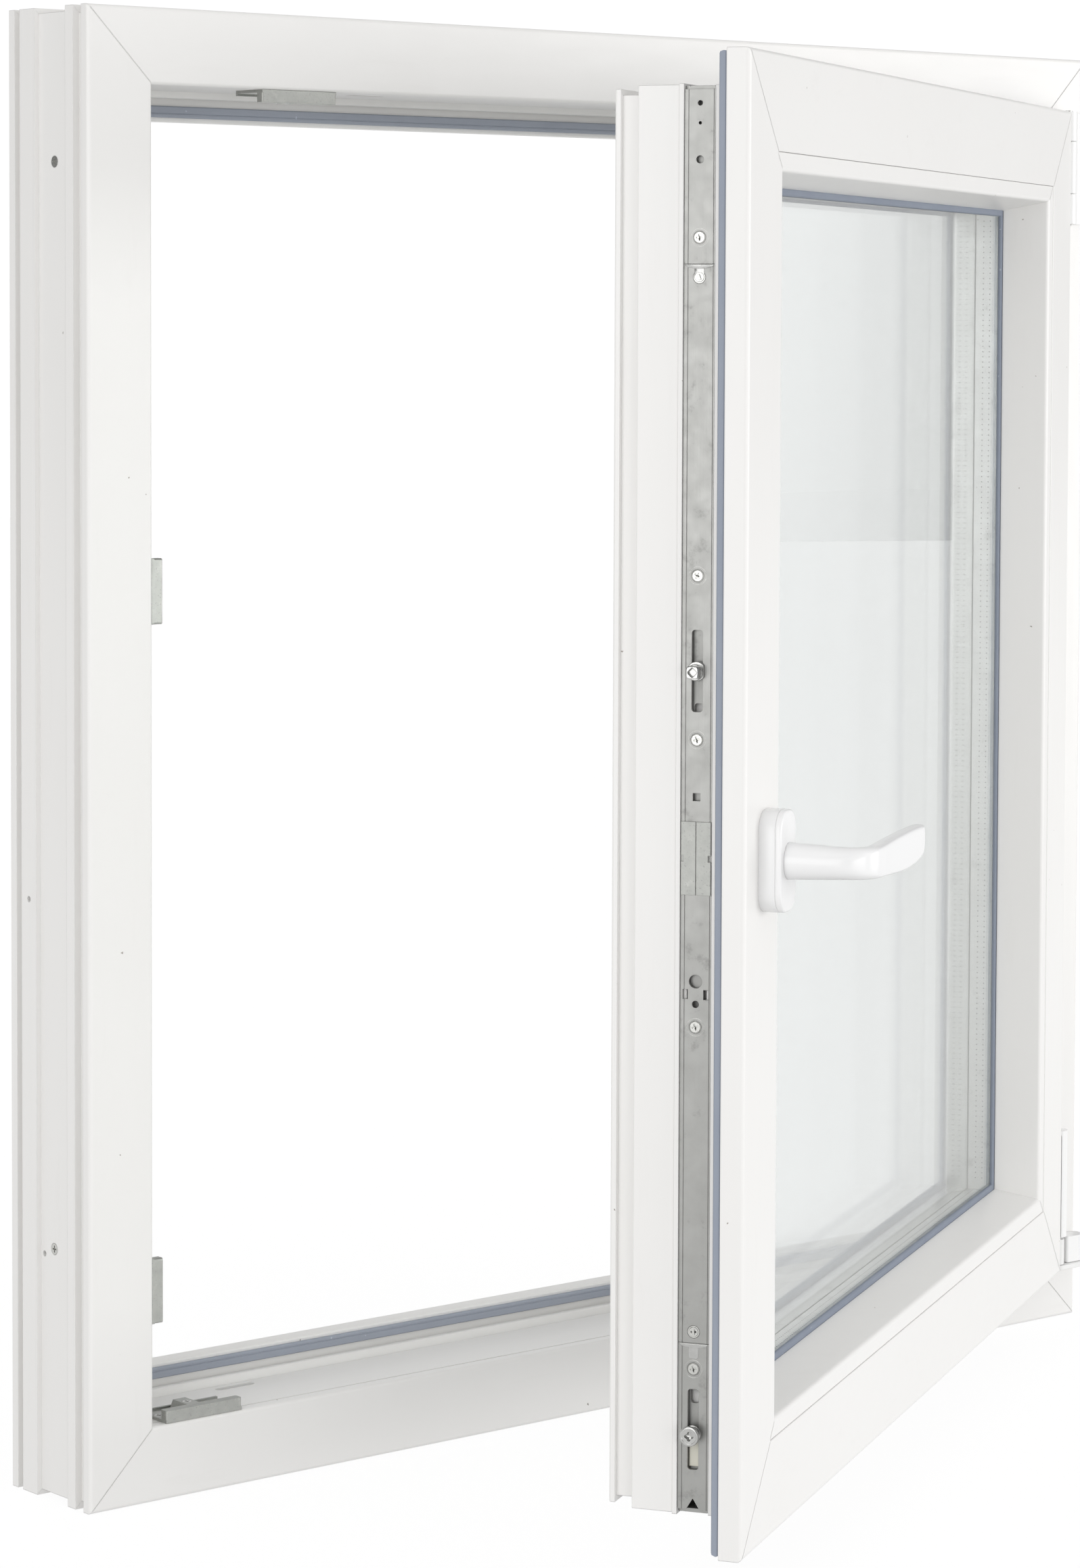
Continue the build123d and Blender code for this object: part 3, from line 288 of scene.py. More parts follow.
def makeSteel(name, light, dark, roughness, stretch, turn=0.0, grain=0.25, stain=0.6):
    # plated steel with rolling lines, dull patches and dark rubbed spots
    material, tree, shader = newMaterial(name, roughness, 0.85)
    plain = objectPoint(tree)
    lines = objectPoint(tree, stretch, turn)
    cloud = useGroup(tree, mottleGroup, plain, Scale=55.0, Amount=1.0)
    stains = useGroup(tree, wearGroup, plain, Scale=60.0, Share=stain)
    body = mixColours(tree, cloud, light, dark)
    stained = tuple(c * 0.62 for c in dark)
    tree.links.new(mixColours(tree, stains, body, stained), shader.inputs["Base Color"])
    ramp = addNode(tree, "ShaderNodeMapRange")
    ramp.inputs["To Min"].default_value = roughness - 0.08
    ramp.inputs["To Max"].default_value = roughness + 0.14
    tree.links.new(noiseHeight(tree, plain, 120.0, 4.0), ramp.inputs["Value"])
    tree.links.new(ramp.outputs["Result"], shader.inputs["Roughness"])
    addBump(tree, shader, noiseHeight(tree, lines, 25.0, 3.0), grain, 0.0002, 0.0003)
    return material


def makeCasting(name, light, dark, roughness):
    # die-cast zinc: grainy skin with pits and paler rubbed places
    material, tree, shader = newMaterial(name, roughness, 0.75)
    plain = objectPoint(tree)
    cloud = useGroup(tree, mottleGroup, plain, Scale=140.0, Amount=1.0)
    pits = useGroup(tree, speckGroup, plain, Scale=700.0, Size=0.3, Share=0.25)
    rubs = useGroup(tree, wearGroup, plain, Scale=90.0, Share=0.55)
    body = mixColours(tree, cloud, light, dark)
    rubbed = mixColours(tree, rubs, body, tuple(min(1.0, c * 1.35) for c in light))
    tree.links.new(mixColours(tree, pits, rubbed, dark), shader.inputs["Base Color"])
    addBump(tree, shader, noiseHeight(tree, plain, 700.0, 4.0), 0.35, 0.0003, 0.0005)
    return material


def makeCoat(name, colour, roughness):
    # sprayed or moulded white surface with a faint orange peel
    material, tree, shader = newMaterial(name, roughness, Specular_IOR_Level=0.5, Coat_Weight=0.15)
    plain = objectPoint(tree)
    cloud = useGroup(tree, mottleGroup, plain, Scale=12.0, Amount=0.35)
    specks = useGroup(tree, speckGroup, plain, Scale=90.0, Size=0.05, Share=0.03)
    body = mixColours(tree, cloud, colour, tuple(c * 0.94 for c in colour))
    tree.links.new(mixColours(tree, specks, body, (0.42, 0.40, 0.38)), shader.inputs["Base Color"])
    addBump(tree, shader, noiseHeight(tree, plain, 900.0), 0.06, 0.0002, 0.0005)
    return material


def makeGlass(name):
    # clear glass that lets light through to what stands behind it
    material, tree, shader = newMaterial(name, 0.0, IOR=1.45, Transmission_Weight=1.0)
    plain = objectPoint(tree)
    haze = useGroup(tree, mottleGroup, plain, Scale=6.0, Amount=1.0)
    tint = mixColours(tree, haze, (0.955, 0.965, 0.962), (0.94, 0.95, 0.947))
    tree.links.new(tint, shader.inputs["Base Color"])
    path = addNode(tree, "ShaderNodeLightPath")
    clear = addNode(tree, "ShaderNodeBsdfTransparent")
    clear.inputs["Color"].default_value = (0.965, 0.968, 0.964, 1.0)
    either = addNode(tree, "ShaderNodeMath", operation="MAXIMUM")
    tree.links.new(path.outputs["Is Shadow Ray"], either.inputs[0])
    tree.links.new(path.outputs["Is Diffuse Ray"], either.inputs[1])
    mix = addNode(tree, "ShaderNodeMixShader")
    tree.links.new(either.outputs[0], mix.inputs[0])
    tree.links.new(shader.outputs[0], mix.inputs[1])
    tree.links.new(clear.outputs[0], mix.inputs[2])
    tree.links.new(mix.outputs[0], tree.nodes["Material Output"].inputs["Surface"])
    return material


sashTurn = -openAngle
looks = {
    "uprightPlastic": makePlastic("uprightPlastic", "z"),
    "levelPlastic": makePlastic("levelPlastic", "x"),
    "sashLevelPlastic": makePlastic("sashLevelPlastic", "x", sashTurn),
    "gasket": makeGasket("blueGreyGasket", (0.27, 0.305, 0.375), (0.35, 0.38, 0.44)),
    "frameSeal": makeGasket("frameSeal", (0.32, 0.35, 0.415), (0.39, 0.42, 0.48)),
    "glazingGasket": makeGasket("glazingGasket", (0.20, 0.23, 0.29), (0.28, 0.31, 0.37)),
    "reinforcement": makeSteel("galvanisedSheet", (0.62, 0.63, 0.62), (0.45, 0.46, 0.46), 0.4, (1, 1, 1)),
    "faceplate": makeSteel("platedStrip", (0.40, 0.40, 0.388), (0.29, 0.29, 0.277), 0.36, (40, 40, 1)),
    "rod": makeSteel("platedRod", (0.40, 0.40, 0.385), (0.26, 0.26, 0.25), 0.42, (40, 40, 1)),
    "cam": makeSteel("greasedCam", (0.60, 0.60, 0.585), (0.34, 0.34, 0.33), 0.17, (1, 1, 1), grain=0.1),
    "screw": makeSteel("platedScrew", (0.70, 0.70, 0.67), (0.42, 0.42, 0.40), 0.2, (1, 1, 1), grain=0.1),
    "casting": makeCasting("dieCastZinc", (0.46, 0.465, 0.44), (0.32, 0.325, 0.31), 0.42),
    "gearZinc": makeCasting("gearZinc", (0.45, 0.45, 0.44), (0.32, 0.32, 0.31), 0.5),
    "hingeCoat": makeCoat("hingeCoat", (0.84, 0.84, 0.83), 0.35),
    "cover": makeCoat("mouldedCover", (0.88, 0.88, 0.875), 0.28),
    "handle": makeCoat("handleCoat", (0.86, 0.86, 0.862), 0.25),
    "glass": makeGlass("clearGlass"),
    "spacer": makeSteel("spacerAluminium", (0.80, 0.81, 0.80), (0.66, 0.67, 0.66), 0.32, (1, 1, 1),
                        grain=0.1),
    "stopPlastic": makeCoat("stopPlastic", (0.72, 0.70, 0.60), 0.4),
    # the black sealant look also serves as painted shade inside the spacer's drying holes
    "sealantAndHoleShade": makeGasket("edgeSealantAndHoleShade", (0.02, 0.02, 0.022), (0.04, 0.04, 0.045)),
    "block": makeGasket("blockPlastic", (0.05, 0.06, 0.07), (0.07, 0.08, 0.09)),
}
slotLooks = {
    "pvc": "uprightPlastic", "bead_pvc": "uprightPlastic", "reinforcement": "reinforcement",
    "striker_zinc": "casting", "faceplate_steel": "faceplate", "rod_steel": "rod", "cam_steel": "cam",
    "screw_steel": "screw", "gear_zinc": "gearZinc", "hinge_steel": "hingeCoat", "hinge_pin": "screw",
    "cover_plastic": "cover", "handle_coat": "handle", "gasket": "gasket", "glazing_gasket": "glazingGasket",
    "glass": "glass", "spacer": "spacer", "edge_sealant": "sealantAndHoleShade", "block_plastic": "block",
}
levelBars = {"frame_head": "levelPlastic", "frame_sill": "levelPlastic",
             "sash_top_rail": "sashLevelPlastic", "sash_bottom_rail": "sashLevelPlastic",
             "bead_top": "sashLevelPlastic", "bead_bottom": "sashLevelPlastic"}
for row in frame["record"]["subparts"]:
    look = levelBars.get(row["node"], slotLooks[row["material_slot"]])
    mesh = nodes[row["node"]].data
    mesh.materials.clear()
    mesh.materials.append(looks[look])
print("materials on the frame's nodes done")


# Finer pieces, drawn in millimetres with the window shut
def link(piece):
    bpy.context.scene.collection.objects.link(piece)
    return piece


def settle(name, shape, look, body, replaced, crease):
    # turn a shape into a piece that rides on a body
    bmesh.ops.recalc_face_normals(shape, faces=shape.faces)
    mesh = bpy.data.meshes.new(name)
    shape.to_mesh(mesh)
    shape.free()
    mesh.materials.append(looks[look])
    mesh.polygons.foreach_set("use_smooth", [True] * len(mesh.polygons))
    mesh.set_sharp_from_angle(angle=math.radians(crease))
    piece = link(bpy.data.objects.new(name, mesh))
    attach(piece, body)
    if replaced:
        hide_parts(*replaced)
    return piece


def finishPiece(name, shape, look, body, replaced=(), opens=True, crease=32.0):
    bmesh.ops.scale(shape, vec=(mm, mm, mm), verts=shape.verts)
    if opens:
        bmesh.ops.transform(shape, matrix=toOpen, verts=shape.verts)
    bmesh.ops.remove_doubles(shape, verts=shape.verts, dist=1e-7)
    return settle(name, shape, look, body, replaced, crease)


def skin(shape, rings, closed=False):
    # join rings of points with quads; an open run gets a cap at each end
    rows = [[shape.verts.new(point) for point in ring] for ring in rings]
    pairs = list(zip(rows, rows[1:])) + ([(rows[-1], rows[0])] if closed else [])
    for first, second in pairs:
        for i in range(len(first)):
            j = (i + 1) % len(first)
            shape.faces.new((first[i], first[j], second[j], second[i]))
    if not closed:
        shape.faces.new(rows[0][::-1])
        shape.faces.new(rows[-1])


def loopRings(profile, width, height, low, notch=None):
    # rings of a profile of (across, depth) points at the mitres of a rectangle; a notch leaves a gap
    # on the hinge side between two heights
    corners = [(1, 1), (-1, 1), (-1, 0), (1, 0)]
    rings = [[Vector((sx * (width / 2 - across), depth, low + (height - across if top else across)))
              for across, depth in profile] for sx, top in corners]
    if notch:
        ends = [[Vector((width / 2 - across, depth, z)) for across, depth in profile]
                for z in (notch[1], notch[0])]
        rings = [ends[0]] + rings + [ends[1]]
    return rings


stileLow, stileHigh = shutBox("sash_lock_stile")
sashSize = {"width": -2 * stileLow.x, "height": stileHigh.z - stileLow.z, "low": stileLow.z,
            "front": stileLow.y, "flangeBack": -2.8}
jambLow, jambHigh = shutBox("frame_lock_jamb", opens=False)
frameSize = {"width": -2 * jambLow.x, "height": jambHigh.z}
sashSeal = {"from": 1.7, "to": 8.6, "stand": 5.4, "notch": (899.4, 946.2), "shut": 0.07}


def makeSashSeal():
    # soft lip gasket in the flange's back, drawn standing; the real lip flattens as the sash shuts
    back, lip = sashSize["flangeBack"], sashSize["flangeBack"] + sashSeal["stand"]
    a, b = sashSeal["from"], sashSeal["to"]
    profile = [(a + 1.3, back + 0.01), (a + 0.2, back + 0.9), (a, back + 2.0), (a + 0.7, lip - 0.9),
               (a + 1.8, lip - 0.15), (a + 3.4, lip), (b - 1.2, lip - 0.35), (b, lip - 1.5),
               (b - 0.1, back + 1.6), (b - 1.0, back + 0.01)]
    shape = bmesh.new()
    skin(shape, loopRings(profile, sashSize["width"], sashSize["height"], sashSize["low"],
                          sashSeal["notch"]))
    piece = finishPiece("sashSeal", shape, "gasket", "sash", ("sash_gasket",))
    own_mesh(piece)


def makeFrameSeal():
    # flat gasket on the outer upstand with a soft bead along the opening
    corner = shutBox("frame_gasket", opens=False)[0]
    low, high, top, foot = corner.z, corner.z + 8.0, corner.y, corner.y + 3.2
    profile = [(low, foot), (low, top + 1.1), (low + 0.7, top + 0.4), (high - 3.4, top + 0.3),
               (high - 2.9, top + 0.7), (high - 2.4, top + 0.2), (high - 1.2, top), (high - 0.2, top + 0.6),
               (high, top + 1.6), (high - 0.3, foot)]
    shape = bmesh.new()
    skin(shape, loopRings(profile, frameSize["width"], frameSize["height"], 0.0), closed=True)
    finishPiece("frameSeal", shape, "frameSeal", "frame", ("frame_gasket",), opens=False)


glazingSeal = {"gap": 0.1, "thick": 2.6, "reach": 11.4}


def makeGlazingSeal(name, replaced, paneFace, side):
    # wedge gasket between the glass and the bead or the lip, with a rounded sight edge
    low = sashSize["width"] / 2 - shutBox(replaced)[1].x
    high = low + glazingSeal["reach"]
    face = paneFace + side * glazingSeal["gap"]
    depth = [face, face + side * glazingSeal["thick"]]
    profile = [(low, depth[0]), (high - 0.4, depth[0]), (high + 0.2, depth[0] + side * 0.7),
               (high, depth[0] + side * 1.9), (high - 0.8, depth[1]), (low, depth[1])]
    shape = bmesh.new()
    skin(shape, loopRings(profile, sashSize["width"], sashSize["height"], sashSize["low"]), closed=True)
    finishPiece(name, shape, "glazingGasket", "sash", (replaced,))


makeSashSeal()
makeFrameSeal()
makeGlazingSeal("innerGlazingSeal", "inner_glazing_gasket", shutBox("inner_pane")[0].y, -1)
makeGlazingSeal("outerGlazingSeal", "outer_glazing_gasket", shutBox("outer_pane")[1].y, 1)
print("gaskets done")


# Handle: rosette of a base and a cap, and a lever whose neck bends into a flat-faced grip
spindle = shutMiddle("handle_spindle")
baseLow, baseHigh = shutBox("handle_base")
handle = {"axis": (spindle.x, spindle.z), "width": baseHigh.x - baseLow.x, "height": baseHigh.z - baseLow.z,
          "corner": 13.0, "base": sashSize["front"] - baseLow.y,
          "cap": sashSize["front"] - shutBox("handle_rose_cover")[0].y,
          "neck": 64.5, "bend": 16.0, "reach": shutBox("handle_lever")[1].x - spindle.x, "facet": 0.62}


def handlePoint(x, out, z):
    # a point given from the handle's axis: towards the hinges, out from the sash's face, and up
    return Vector((handle["axis"][0] + x, sashSize["front"] - out, handle["axis"][1] + z))


def roundedOutline(inset, out):
    w, h, r = handle["width"] / 2 - inset, handle["height"] / 2 - inset, handle["corner"] - inset
    points = []
    for cx, cz, start in ((w - r, h - r, 0), (r - w, h - r, 90), (r - w, r - h, 180), (w - r, r - h, 270)):
        for step in range(13):
            angle = math.radians(start + step * 7.5)
            points.append(handlePoint(cx + r * math.cos(angle), out, cz + r * math.sin(angle)))
    return points


def makeRosette():
    # (inset, out) steps of the base and then of the cap with its softened rim
    base, cap = handle["base"], handle["cap"]
    baseSteps = [(0.15, 0.0), (0.0, 0.3), (0.0, base - 0.4), (0.12, base - 0.15), (0.35, base)]
    capSteps = [(0.5, base), (0.2, base + 0.15), (0.1, base + 0.4), (0.1, cap - 1.5), (0.22, cap - 0.9),
                (0.55, cap - 0.4), (1.05, cap - 0.1), (1.7, cap)]
    for name, node, steps in (("rosetteBase", "handle_base", baseSteps),
                              ("rosetteCap", "handle_rose_cover", capSteps)):
        shape = bmesh.new()
        skin(shape, [roundedOutline(inset, out) for inset, out in steps])
        finishPiece(name, shape, "handle", "sash", (node,), crease=50.0)


def leverStations():
    # (x, out) on the lever's middle line, its direction there, half height, half depth, squareness, lift
    bend, neck, reach = handle["bend"], handle["neck"], handle["reach"]
    rows = [((0, 13.9), 90, 11.3, 11.3, 2.0, 0), ((0, 14.7), 90, 11.6, 11.6, 2.0, 0),
            ((0, 15.3), 90, 11.5, 11.5, 2.0, 0), ((0, 28), 90, 11.0, 11.0, 2.0, 0),
            ((0, 40), 90, 10.5, 10.4, 2.0, 0), ((0, neck - bend), 90, 10.1, 10.0, 2.05, 0)]
    for angle in (75, 58, 42, 26, 12):
        turn = math.radians(angle)
        spot = (bend - bend * math.sin(turn), neck - bend + bend * math.cos(turn))
        share = (90 - angle) / 90
        rows.append((spot, angle, 10.0, 10.0 - 1.6 * share, 2.05 + 0.5 * share, 0))
    rows += [((bend + 4, neck), 0, 10.1, 8.1, 2.7, 0), ((40, neck), 0, 10.9, 7.7, 2.8, 0),
             ((62, neck), 0, 12.0, 7.5, 2.8, -0.3), ((82, neck), 0, 12.2, 7.4, 2.8, -0.1),
             ((100, neck), 0, 11.6, 7.2, 2.7, 0.7), ((111, neck), 0, 10.6, 7.0, 2.6, 1.6),
             ((117.5, neck), 0, 9.6, 6.5, 2.5, 2.4), ((120.6, neck), 0, 8.5, 5.6, 2.4, 2.9),
             ((reach - 0.3, neck), 0, 6.8, 4.2, 2.3, 3.2), ((reach, neck), 0, 4.4, 2.6, 2.2, 3.4)]
    return rows


def makeLever():
    shape = bmesh.new()
    rings = []
    for (x, out), angle, tall, deep, power, lift in leverStations():
        turn = math.radians(angle)
        across = Vector((-math.sin(turn), math.cos(turn)))   # from the middle line towards the room
        ring = []
        for step in range(40):
            around = math.tau * step / 40
            c, s = math.cos(around), math.sin(around)
            up = tall * math.copysign(abs(c) ** (2 / power), c) + lift
            off = deep * math.copysign(abs(s) ** (2 / power), s)
            limit = deep * (1 - (1 - handle["facet"]) * (1 - angle / 90))
            if off > limit:                                  # the face towards the room is nearly flat
                off = limit + 0.18 * (off - limit)
            ring.append(handlePoint(x + across.x * off, out + across.y * off, up))
        rings.append(ring)
    skin(shape, rings)
    piece = finishPiece("lever", shape, "handle", "handle", ("handle_lever",), crease=180.0)
    smooth = piece.modifiers.new("smooth", "SUBSURF")
    smooth.levels = smooth.render_levels = 1


makeRosette()
makeLever()
print("handle done")


# Cams: turned steel with a key socket
plateLow, plateHigh = shutBox("faceplate_gear")
cams = {"square": shutMiddle("square_cam").z, "mushroom": shutMiddle("mushroom_cam").z,
        "top": shutMiddle("top_cam").x, "bottom": shutMiddle("tilt_cam").x,
        "groove": shutMiddle("faceplate_gear").y, "plate": plateLow.x - stileLow.x}


def turned(shape, profile, centre, sides=48):
    # rings of a turned shape: (proud of the faceplate, radius) pairs about a centre given as (u, v)
    rings = []
    for proud, radius, *lobes in profile:
        ring = []
        for step in range(sides):
            angle = math.tau * step / sides
            r = radius * (1 + (lobes[0] if lobes else 0) * math.cos(4 * angle))
            ring.append(Vector((proud, centre[0] + r * math.cos(angle), centre[1] + r * math.sin(angle))))
        rings.append(ring)
    skin(shape, rings)


def camMatrix(side, along):
    # from (proud, depth, along) to the sash's side
    edge = -sashSize["width"] / 2 + cams["plate"]
    if side == "lock":
        return Matrix(((-1, 0, 0, edge), (0, 1, 0, 0), (0, 0, 1, along), (0, 0, 0, 1)))
    base = sashSize["low"] + cams["plate"]
    if side == "bottom":
        return Matrix(((0, 0, 1, along), (0, 1, 0, 0), (-1, 0, 0, base), (0, 0, 0, 1)))
    top = sashSize["low"] * 2 + sashSize["height"] - base
    return Matrix(((0, 0, 1, along), (0, 1, 0, 0), (1, 0, 0, top), (0, 0, 0, 1)))


# (proud, radius) and for the key socket a share of four lobes
mushroomProfile = [(-3.6, 3.2), (0.2, 3.2), (0.25, 4.9), (0.7, 5.2), (1.2, 5.2), (1.5, 4.1), (5.9, 4.1),
                   (6.2, 5.9), (6.6, 6.2), (8.2, 6.2), (8.7, 5.95), (8.9, 5.5), (8.9, 4.7), (8.75, 4.5),
                   (8.75, 3.3), (8.7, 2.5, 0.2), (8.2, 2.3, 0.24), (5.6, 2.1, 0.24), (5.2, 0.6)]


def makeMushroom(name, side, along, body, node):
    shape = bmesh.new()
    turned(shape, mushroomProfile, (cams["groove"], 0.0))
    shape.transform(camMatrix(side, along))
    finishPiece(name, shape, "cam", body, (node,), crease=28.0)


def makeSquareCam():
    # a flat-sided foot, an eccentric disc and a rounded square boss with a key socket turned by 45 degrees
    shape = bmesh.new()
    groove = cams["groove"]
    foot = []
    for proud, radius in ((-3.6, 3.2), (0.15, 3.2), (0.2, 5.6), (0.5, 5.9), (1.7, 5.9), (2.0, 5.6)):
        ring = []
        for step in range(48):
            angle = math.tau * step / 48
            u = max(radius * math.cos(angle), -4.6)
            ring.append(Vector((proud, groove + u, radius * math.sin(angle))))
        foot.append(ring)
    skin(shape, foot)
    turned(shape, [(1.9, 4.6), (2.2, 5.0), (3.6, 5.0), (3.9, 4.7)], (groove + 0.5, -0.6))
    boss = []
    for proud, half, inner in ((3.8, 3.7, 0), (4.0, 4.0, 0), (8.4, 3.95, 0), (8.9, 3.4, 0), (8.9, 2.5, 1),
                               (8.4, 2.2, 1), (6.2, 2.1, 1), (6.1, 0.5, 1)):
        ring = []
        for step in range(48):
            angle = math.tau * step / 48
            turn = angle + (math.pi / 4 if inner else 0)
            c, s = math.cos(turn), math.sin(turn)
            r = half / (abs(c) ** 5 + abs(s) ** 5) ** 0.2
            ring.append(Vector((proud, groove + 0.5 + r * math.cos(angle), -0.4 + r * math.sin(angle))))
        boss.append(ring)
    skin(shape, boss)
    shape.transform(camMatrix("lock", cams["square"]))
    finishPiece("squareCam", shape, "cam", "lock_rod", ("square_cam",), crease=28.0)


makeSquareCam()
makeMushroom("lowerCam", "lock", cams["mushroom"], "lock_rod", "mushroom_cam")
makeMushroom("headCam", "top", cams["top"], "top_rod", "top_cam")
makeMushroom("cornerCam", "bottom", cams["bottom"], "tilt_rod", "tilt_cam")
print("cams done")


# Screw heads and spacer holes, which repeat, come from Geometry Nodes; the holes are dark discs of painted shade
def newTree(name, inputs):
    tree = bpy.data.node_groups.new(name, "GeometryNodeTree")
    tree.interface.new_socket("Geometry", in_out="INPUT", socket_type="NodeSocketGeometry")
    for label, kind, value in inputs:
        socket = tree.interface.new_socket(label, in_out="INPUT", socket_type=kind)
        if value is not None:
            socket.default_value = value
    tree.interface.new_socket("Geometry", in_out="OUTPUT", socket_type="NodeSocketGeometry")
    return tree, tree.nodes.new("NodeGroupInput"), tree.nodes.new("NodeGroupOutput")


def makeScrewTree():
    tree, start, end = newTree("screwHeads", [
        ("Head Radius", "NodeSocketFloat", 3.8 * mm), ("Head Height", "NodeSocketFloat", 0.9 * mm),
        ("Ring Radius", "NodeSocketFloat", 5.6 * mm), ("Ring Width", "NodeSocketFloat", 0.32 * mm),
        ("Slot Length", "NodeSocketFloat", 4.2 * mm), ("Slot Width", "NodeSocketFloat", 0.9 * mm),
        ("Seed", "NodeSocketInt", 4), ("Material", "NodeSocketMaterial", None)])
    wire = tree.links.new
    head = addNode(tree, "GeometryNodeMeshCone")
    head.inputs["Vertices"].default_value = 36
    narrow = addNode(tree, "ShaderNodeMath", operation="MULTIPLY")
    narrow.inputs[1].default_value = 0.86
    wire(start.outputs["Head Radius"], narrow.inputs[0])
    wire(narrow.outputs[0], head.inputs["Radius Top"])
    wire(start.outputs["Head Radius"], head.inputs["Radius Bottom"])
    wire(start.outputs["Head Height"], head.inputs["Depth"])
    arms = []
    for first, second in ((0, 1), (1, 0)):
        size = addNode(tree, "ShaderNodeCombineXYZ")
        wire(start.outputs["Slot Length"], size.inputs[first])
        wire(start.outputs["Slot Width"], size.inputs[second])
        size.inputs[2].default_value = 1.2 * mm
        arm = addNode(tree, "GeometryNodeMeshCube")
        wire(size.outputs[0], arm.inputs["Size"])
        lift = addNode(tree, "GeometryNodeTransform")
        wire(arm.outputs["Mesh"], lift.inputs["Geometry"])
        risen = addNode(tree, "ShaderNodeCombineXYZ")
        wire(start.outputs["Head Height"], risen.inputs[2])
        wire(risen.outputs[0], lift.inputs["Translation"])
        arms.append(lift)
    cut = addNode(tree, "GeometryNodeMeshBoolean", operation="DIFFERENCE")
    wire(head.outputs["Mesh"], cut.inputs[0])
    for arm in arms:
        wire(arm.outputs["Geometry"], cut.inputs[1])
    circle = addNode(tree, "GeometryNodeCurvePrimitiveCircle")
    circle.inputs["Resolution"].default_value = 40
    wire(start.outputs["Ring Radius"], circle.inputs["Radius"])
    wireSection = addNode(tree, "GeometryNodeCurvePrimitiveCircle")
    wireSection.inputs["Resolution"].default_value = 8
    wire(start.outputs["Ring Width"], wireSection.inputs["Radius"])
    ring = addNode(tree, "GeometryNodeCurveToMesh")
    wire(circle.outputs["Curve"], ring.inputs["Curve"])
    wire(wireSection.outputs["Curve"], ring.inputs["Profile Curve"])
    both = addNode(tree, "GeometryNodeJoinGeometry")
    wire(cut.outputs["Mesh"], both.inputs[0])
    wire(ring.outputs["Mesh"], both.inputs[0])
    place = addNode(tree, "GeometryNodeInstanceOnPoints")
    wire(start.outputs["Geometry"], place.inputs["Points"])
    wire(both.outputs["Geometry"], place.inputs["Instance"])
    turn = addNode(tree, "FunctionNodeRandomValue", data_type="FLOAT_VECTOR")
    turn.inputs["Min"].default_value = (0, 0, 0)
    turn.inputs["Max"].default_value = (0, 0, 1.5)
    wire(start.outputs["Seed"], turn.inputs["Seed"])
    wire(turn.outputs[0], place.inputs["Rotation"])
    finishTree(tree, start, place, end)
    return tree


def finishTree(tree, start, place, end):
    real = addNode(tree, "GeometryNodeRealizeInstances")
    tree.links.new(place.outputs["Instances"], real.inputs[0])
    paint = addNode(tree, "GeometryNodeSetMaterial")
    tree.links.new(real.outputs[0], paint.inputs["Geometry"])
    tree.links.new(start.outputs["Material"], paint.inputs["Material"])
    tree.links.new(paint.outputs["Geometry"], end.inputs["Geometry"])


def makeHoleTree():
    tree, start, end = newTree("spacerHoles", [
        ("Hole Radius", "NodeSocketFloat", 0.45 * mm), ("Pitch", "NodeSocketFloat", 4.0 * mm),
        ("Material", "NodeSocketMaterial", None)])
    wire = tree.links.new
    curve = addNode(tree, "GeometryNodeMeshToCurve")
    wire(start.outputs["Geometry"], curve.inputs[0])
    spots = addNode(tree, "GeometryNodeCurveToPoints", mode="LENGTH")
    wire(curve.outputs[0], spots.inputs[0])
    wire(start.outputs["Pitch"], spots.inputs["Length"])
    # each hole is a thin disc that takes a dark material: painted shade for the hole's inside
    dot = addNode(tree, "GeometryNodeMeshCylinder", fill_type="NGON")
    dot.inputs["Vertices"].default_value = 8
    dot.inputs["Depth"].default_value = 0.12 * mm
    wire(start.outputs["Hole Radius"], dot.inputs["Radius"])
    place = addNode(tree, "GeometryNodeInstanceOnPoints")
    wire(spots.outputs["Points"], place.inputs["Points"])
    wire(dot.outputs["Mesh"], place.inputs["Instance"])
    finishTree(tree, start, place, end)
    return tree


def grow(tree, points, edges, values):
    # run a tree on loose points or edges and give back the plain mesh
    base = bpy.data.meshes.new("base")
    base.from_pydata(points, edges, [])
    holder = link(bpy.data.objects.new("holder", base))
    modifier = holder.modifiers.new("nodes", "NODES")
    sockets = {item.name: item.identifier for item in tree.interface.items_tree if item.in_out == "INPUT"}
    modifier.node_group = tree
    for label, value in values.items():
        modifier[sockets[label]] = value
    graph = bpy.context.evaluated_depsgraph_get()
    result = bpy.data.meshes.new_from_object(holder.evaluated_get(graph), depsgraph=graph)
    bpy.data.objects.remove(holder)
    bpy.data.meshes.remove(base)
    return result


def joinMeshes(name, parts, look, body):
    whole = bmesh.new()
    for mesh, matrix in parts:
        mesh.transform(matrix)
        whole.from_mesh(mesh)
    for face in whole.faces:
        face.material_index = 0
    settle(name, whole, look, body, (), 32.0)


def towards(origin, normal):
    # a frame at a point in millimetres whose Z is the given normal
    up, z = Vector((0, 0, 1)), Vector(normal).normalized()
    x = up.cross(z).normalized() if abs(z.dot(up)) < 0.9 else Vector((1, 0, 0))
    y = z.cross(x)
    turn = Matrix((x, y, z)).transposed().to_4x4()
    return Matrix.Translation(Vector(origin) * mm) @ turn


screws = {"ringed": [845.0, 640.0, 540.0, 364.0, 153.0], "starred": [821.0, 176.0],
          "guide": [133.0, 361.0], "rail": -270.0, "sunk": 0.25}
ringedSizes = {"head": 3.8, "height": 0.7, "ring": 5.5, "ringWidth": 0.3, "slot": 4.0, "width": 0.95}
starredSizes = {"head": 3.3, "height": 0.6, "ring": 3.6, "ringWidth": 0.2, "slot": 3.6, "width": 1.5}
railSizes = {"head": 3.8, "height": 0.6, "ring": 4.1, "ringWidth": 0.2}
screwTree = makeScrewTree()
holeTree = makeHoleTree()


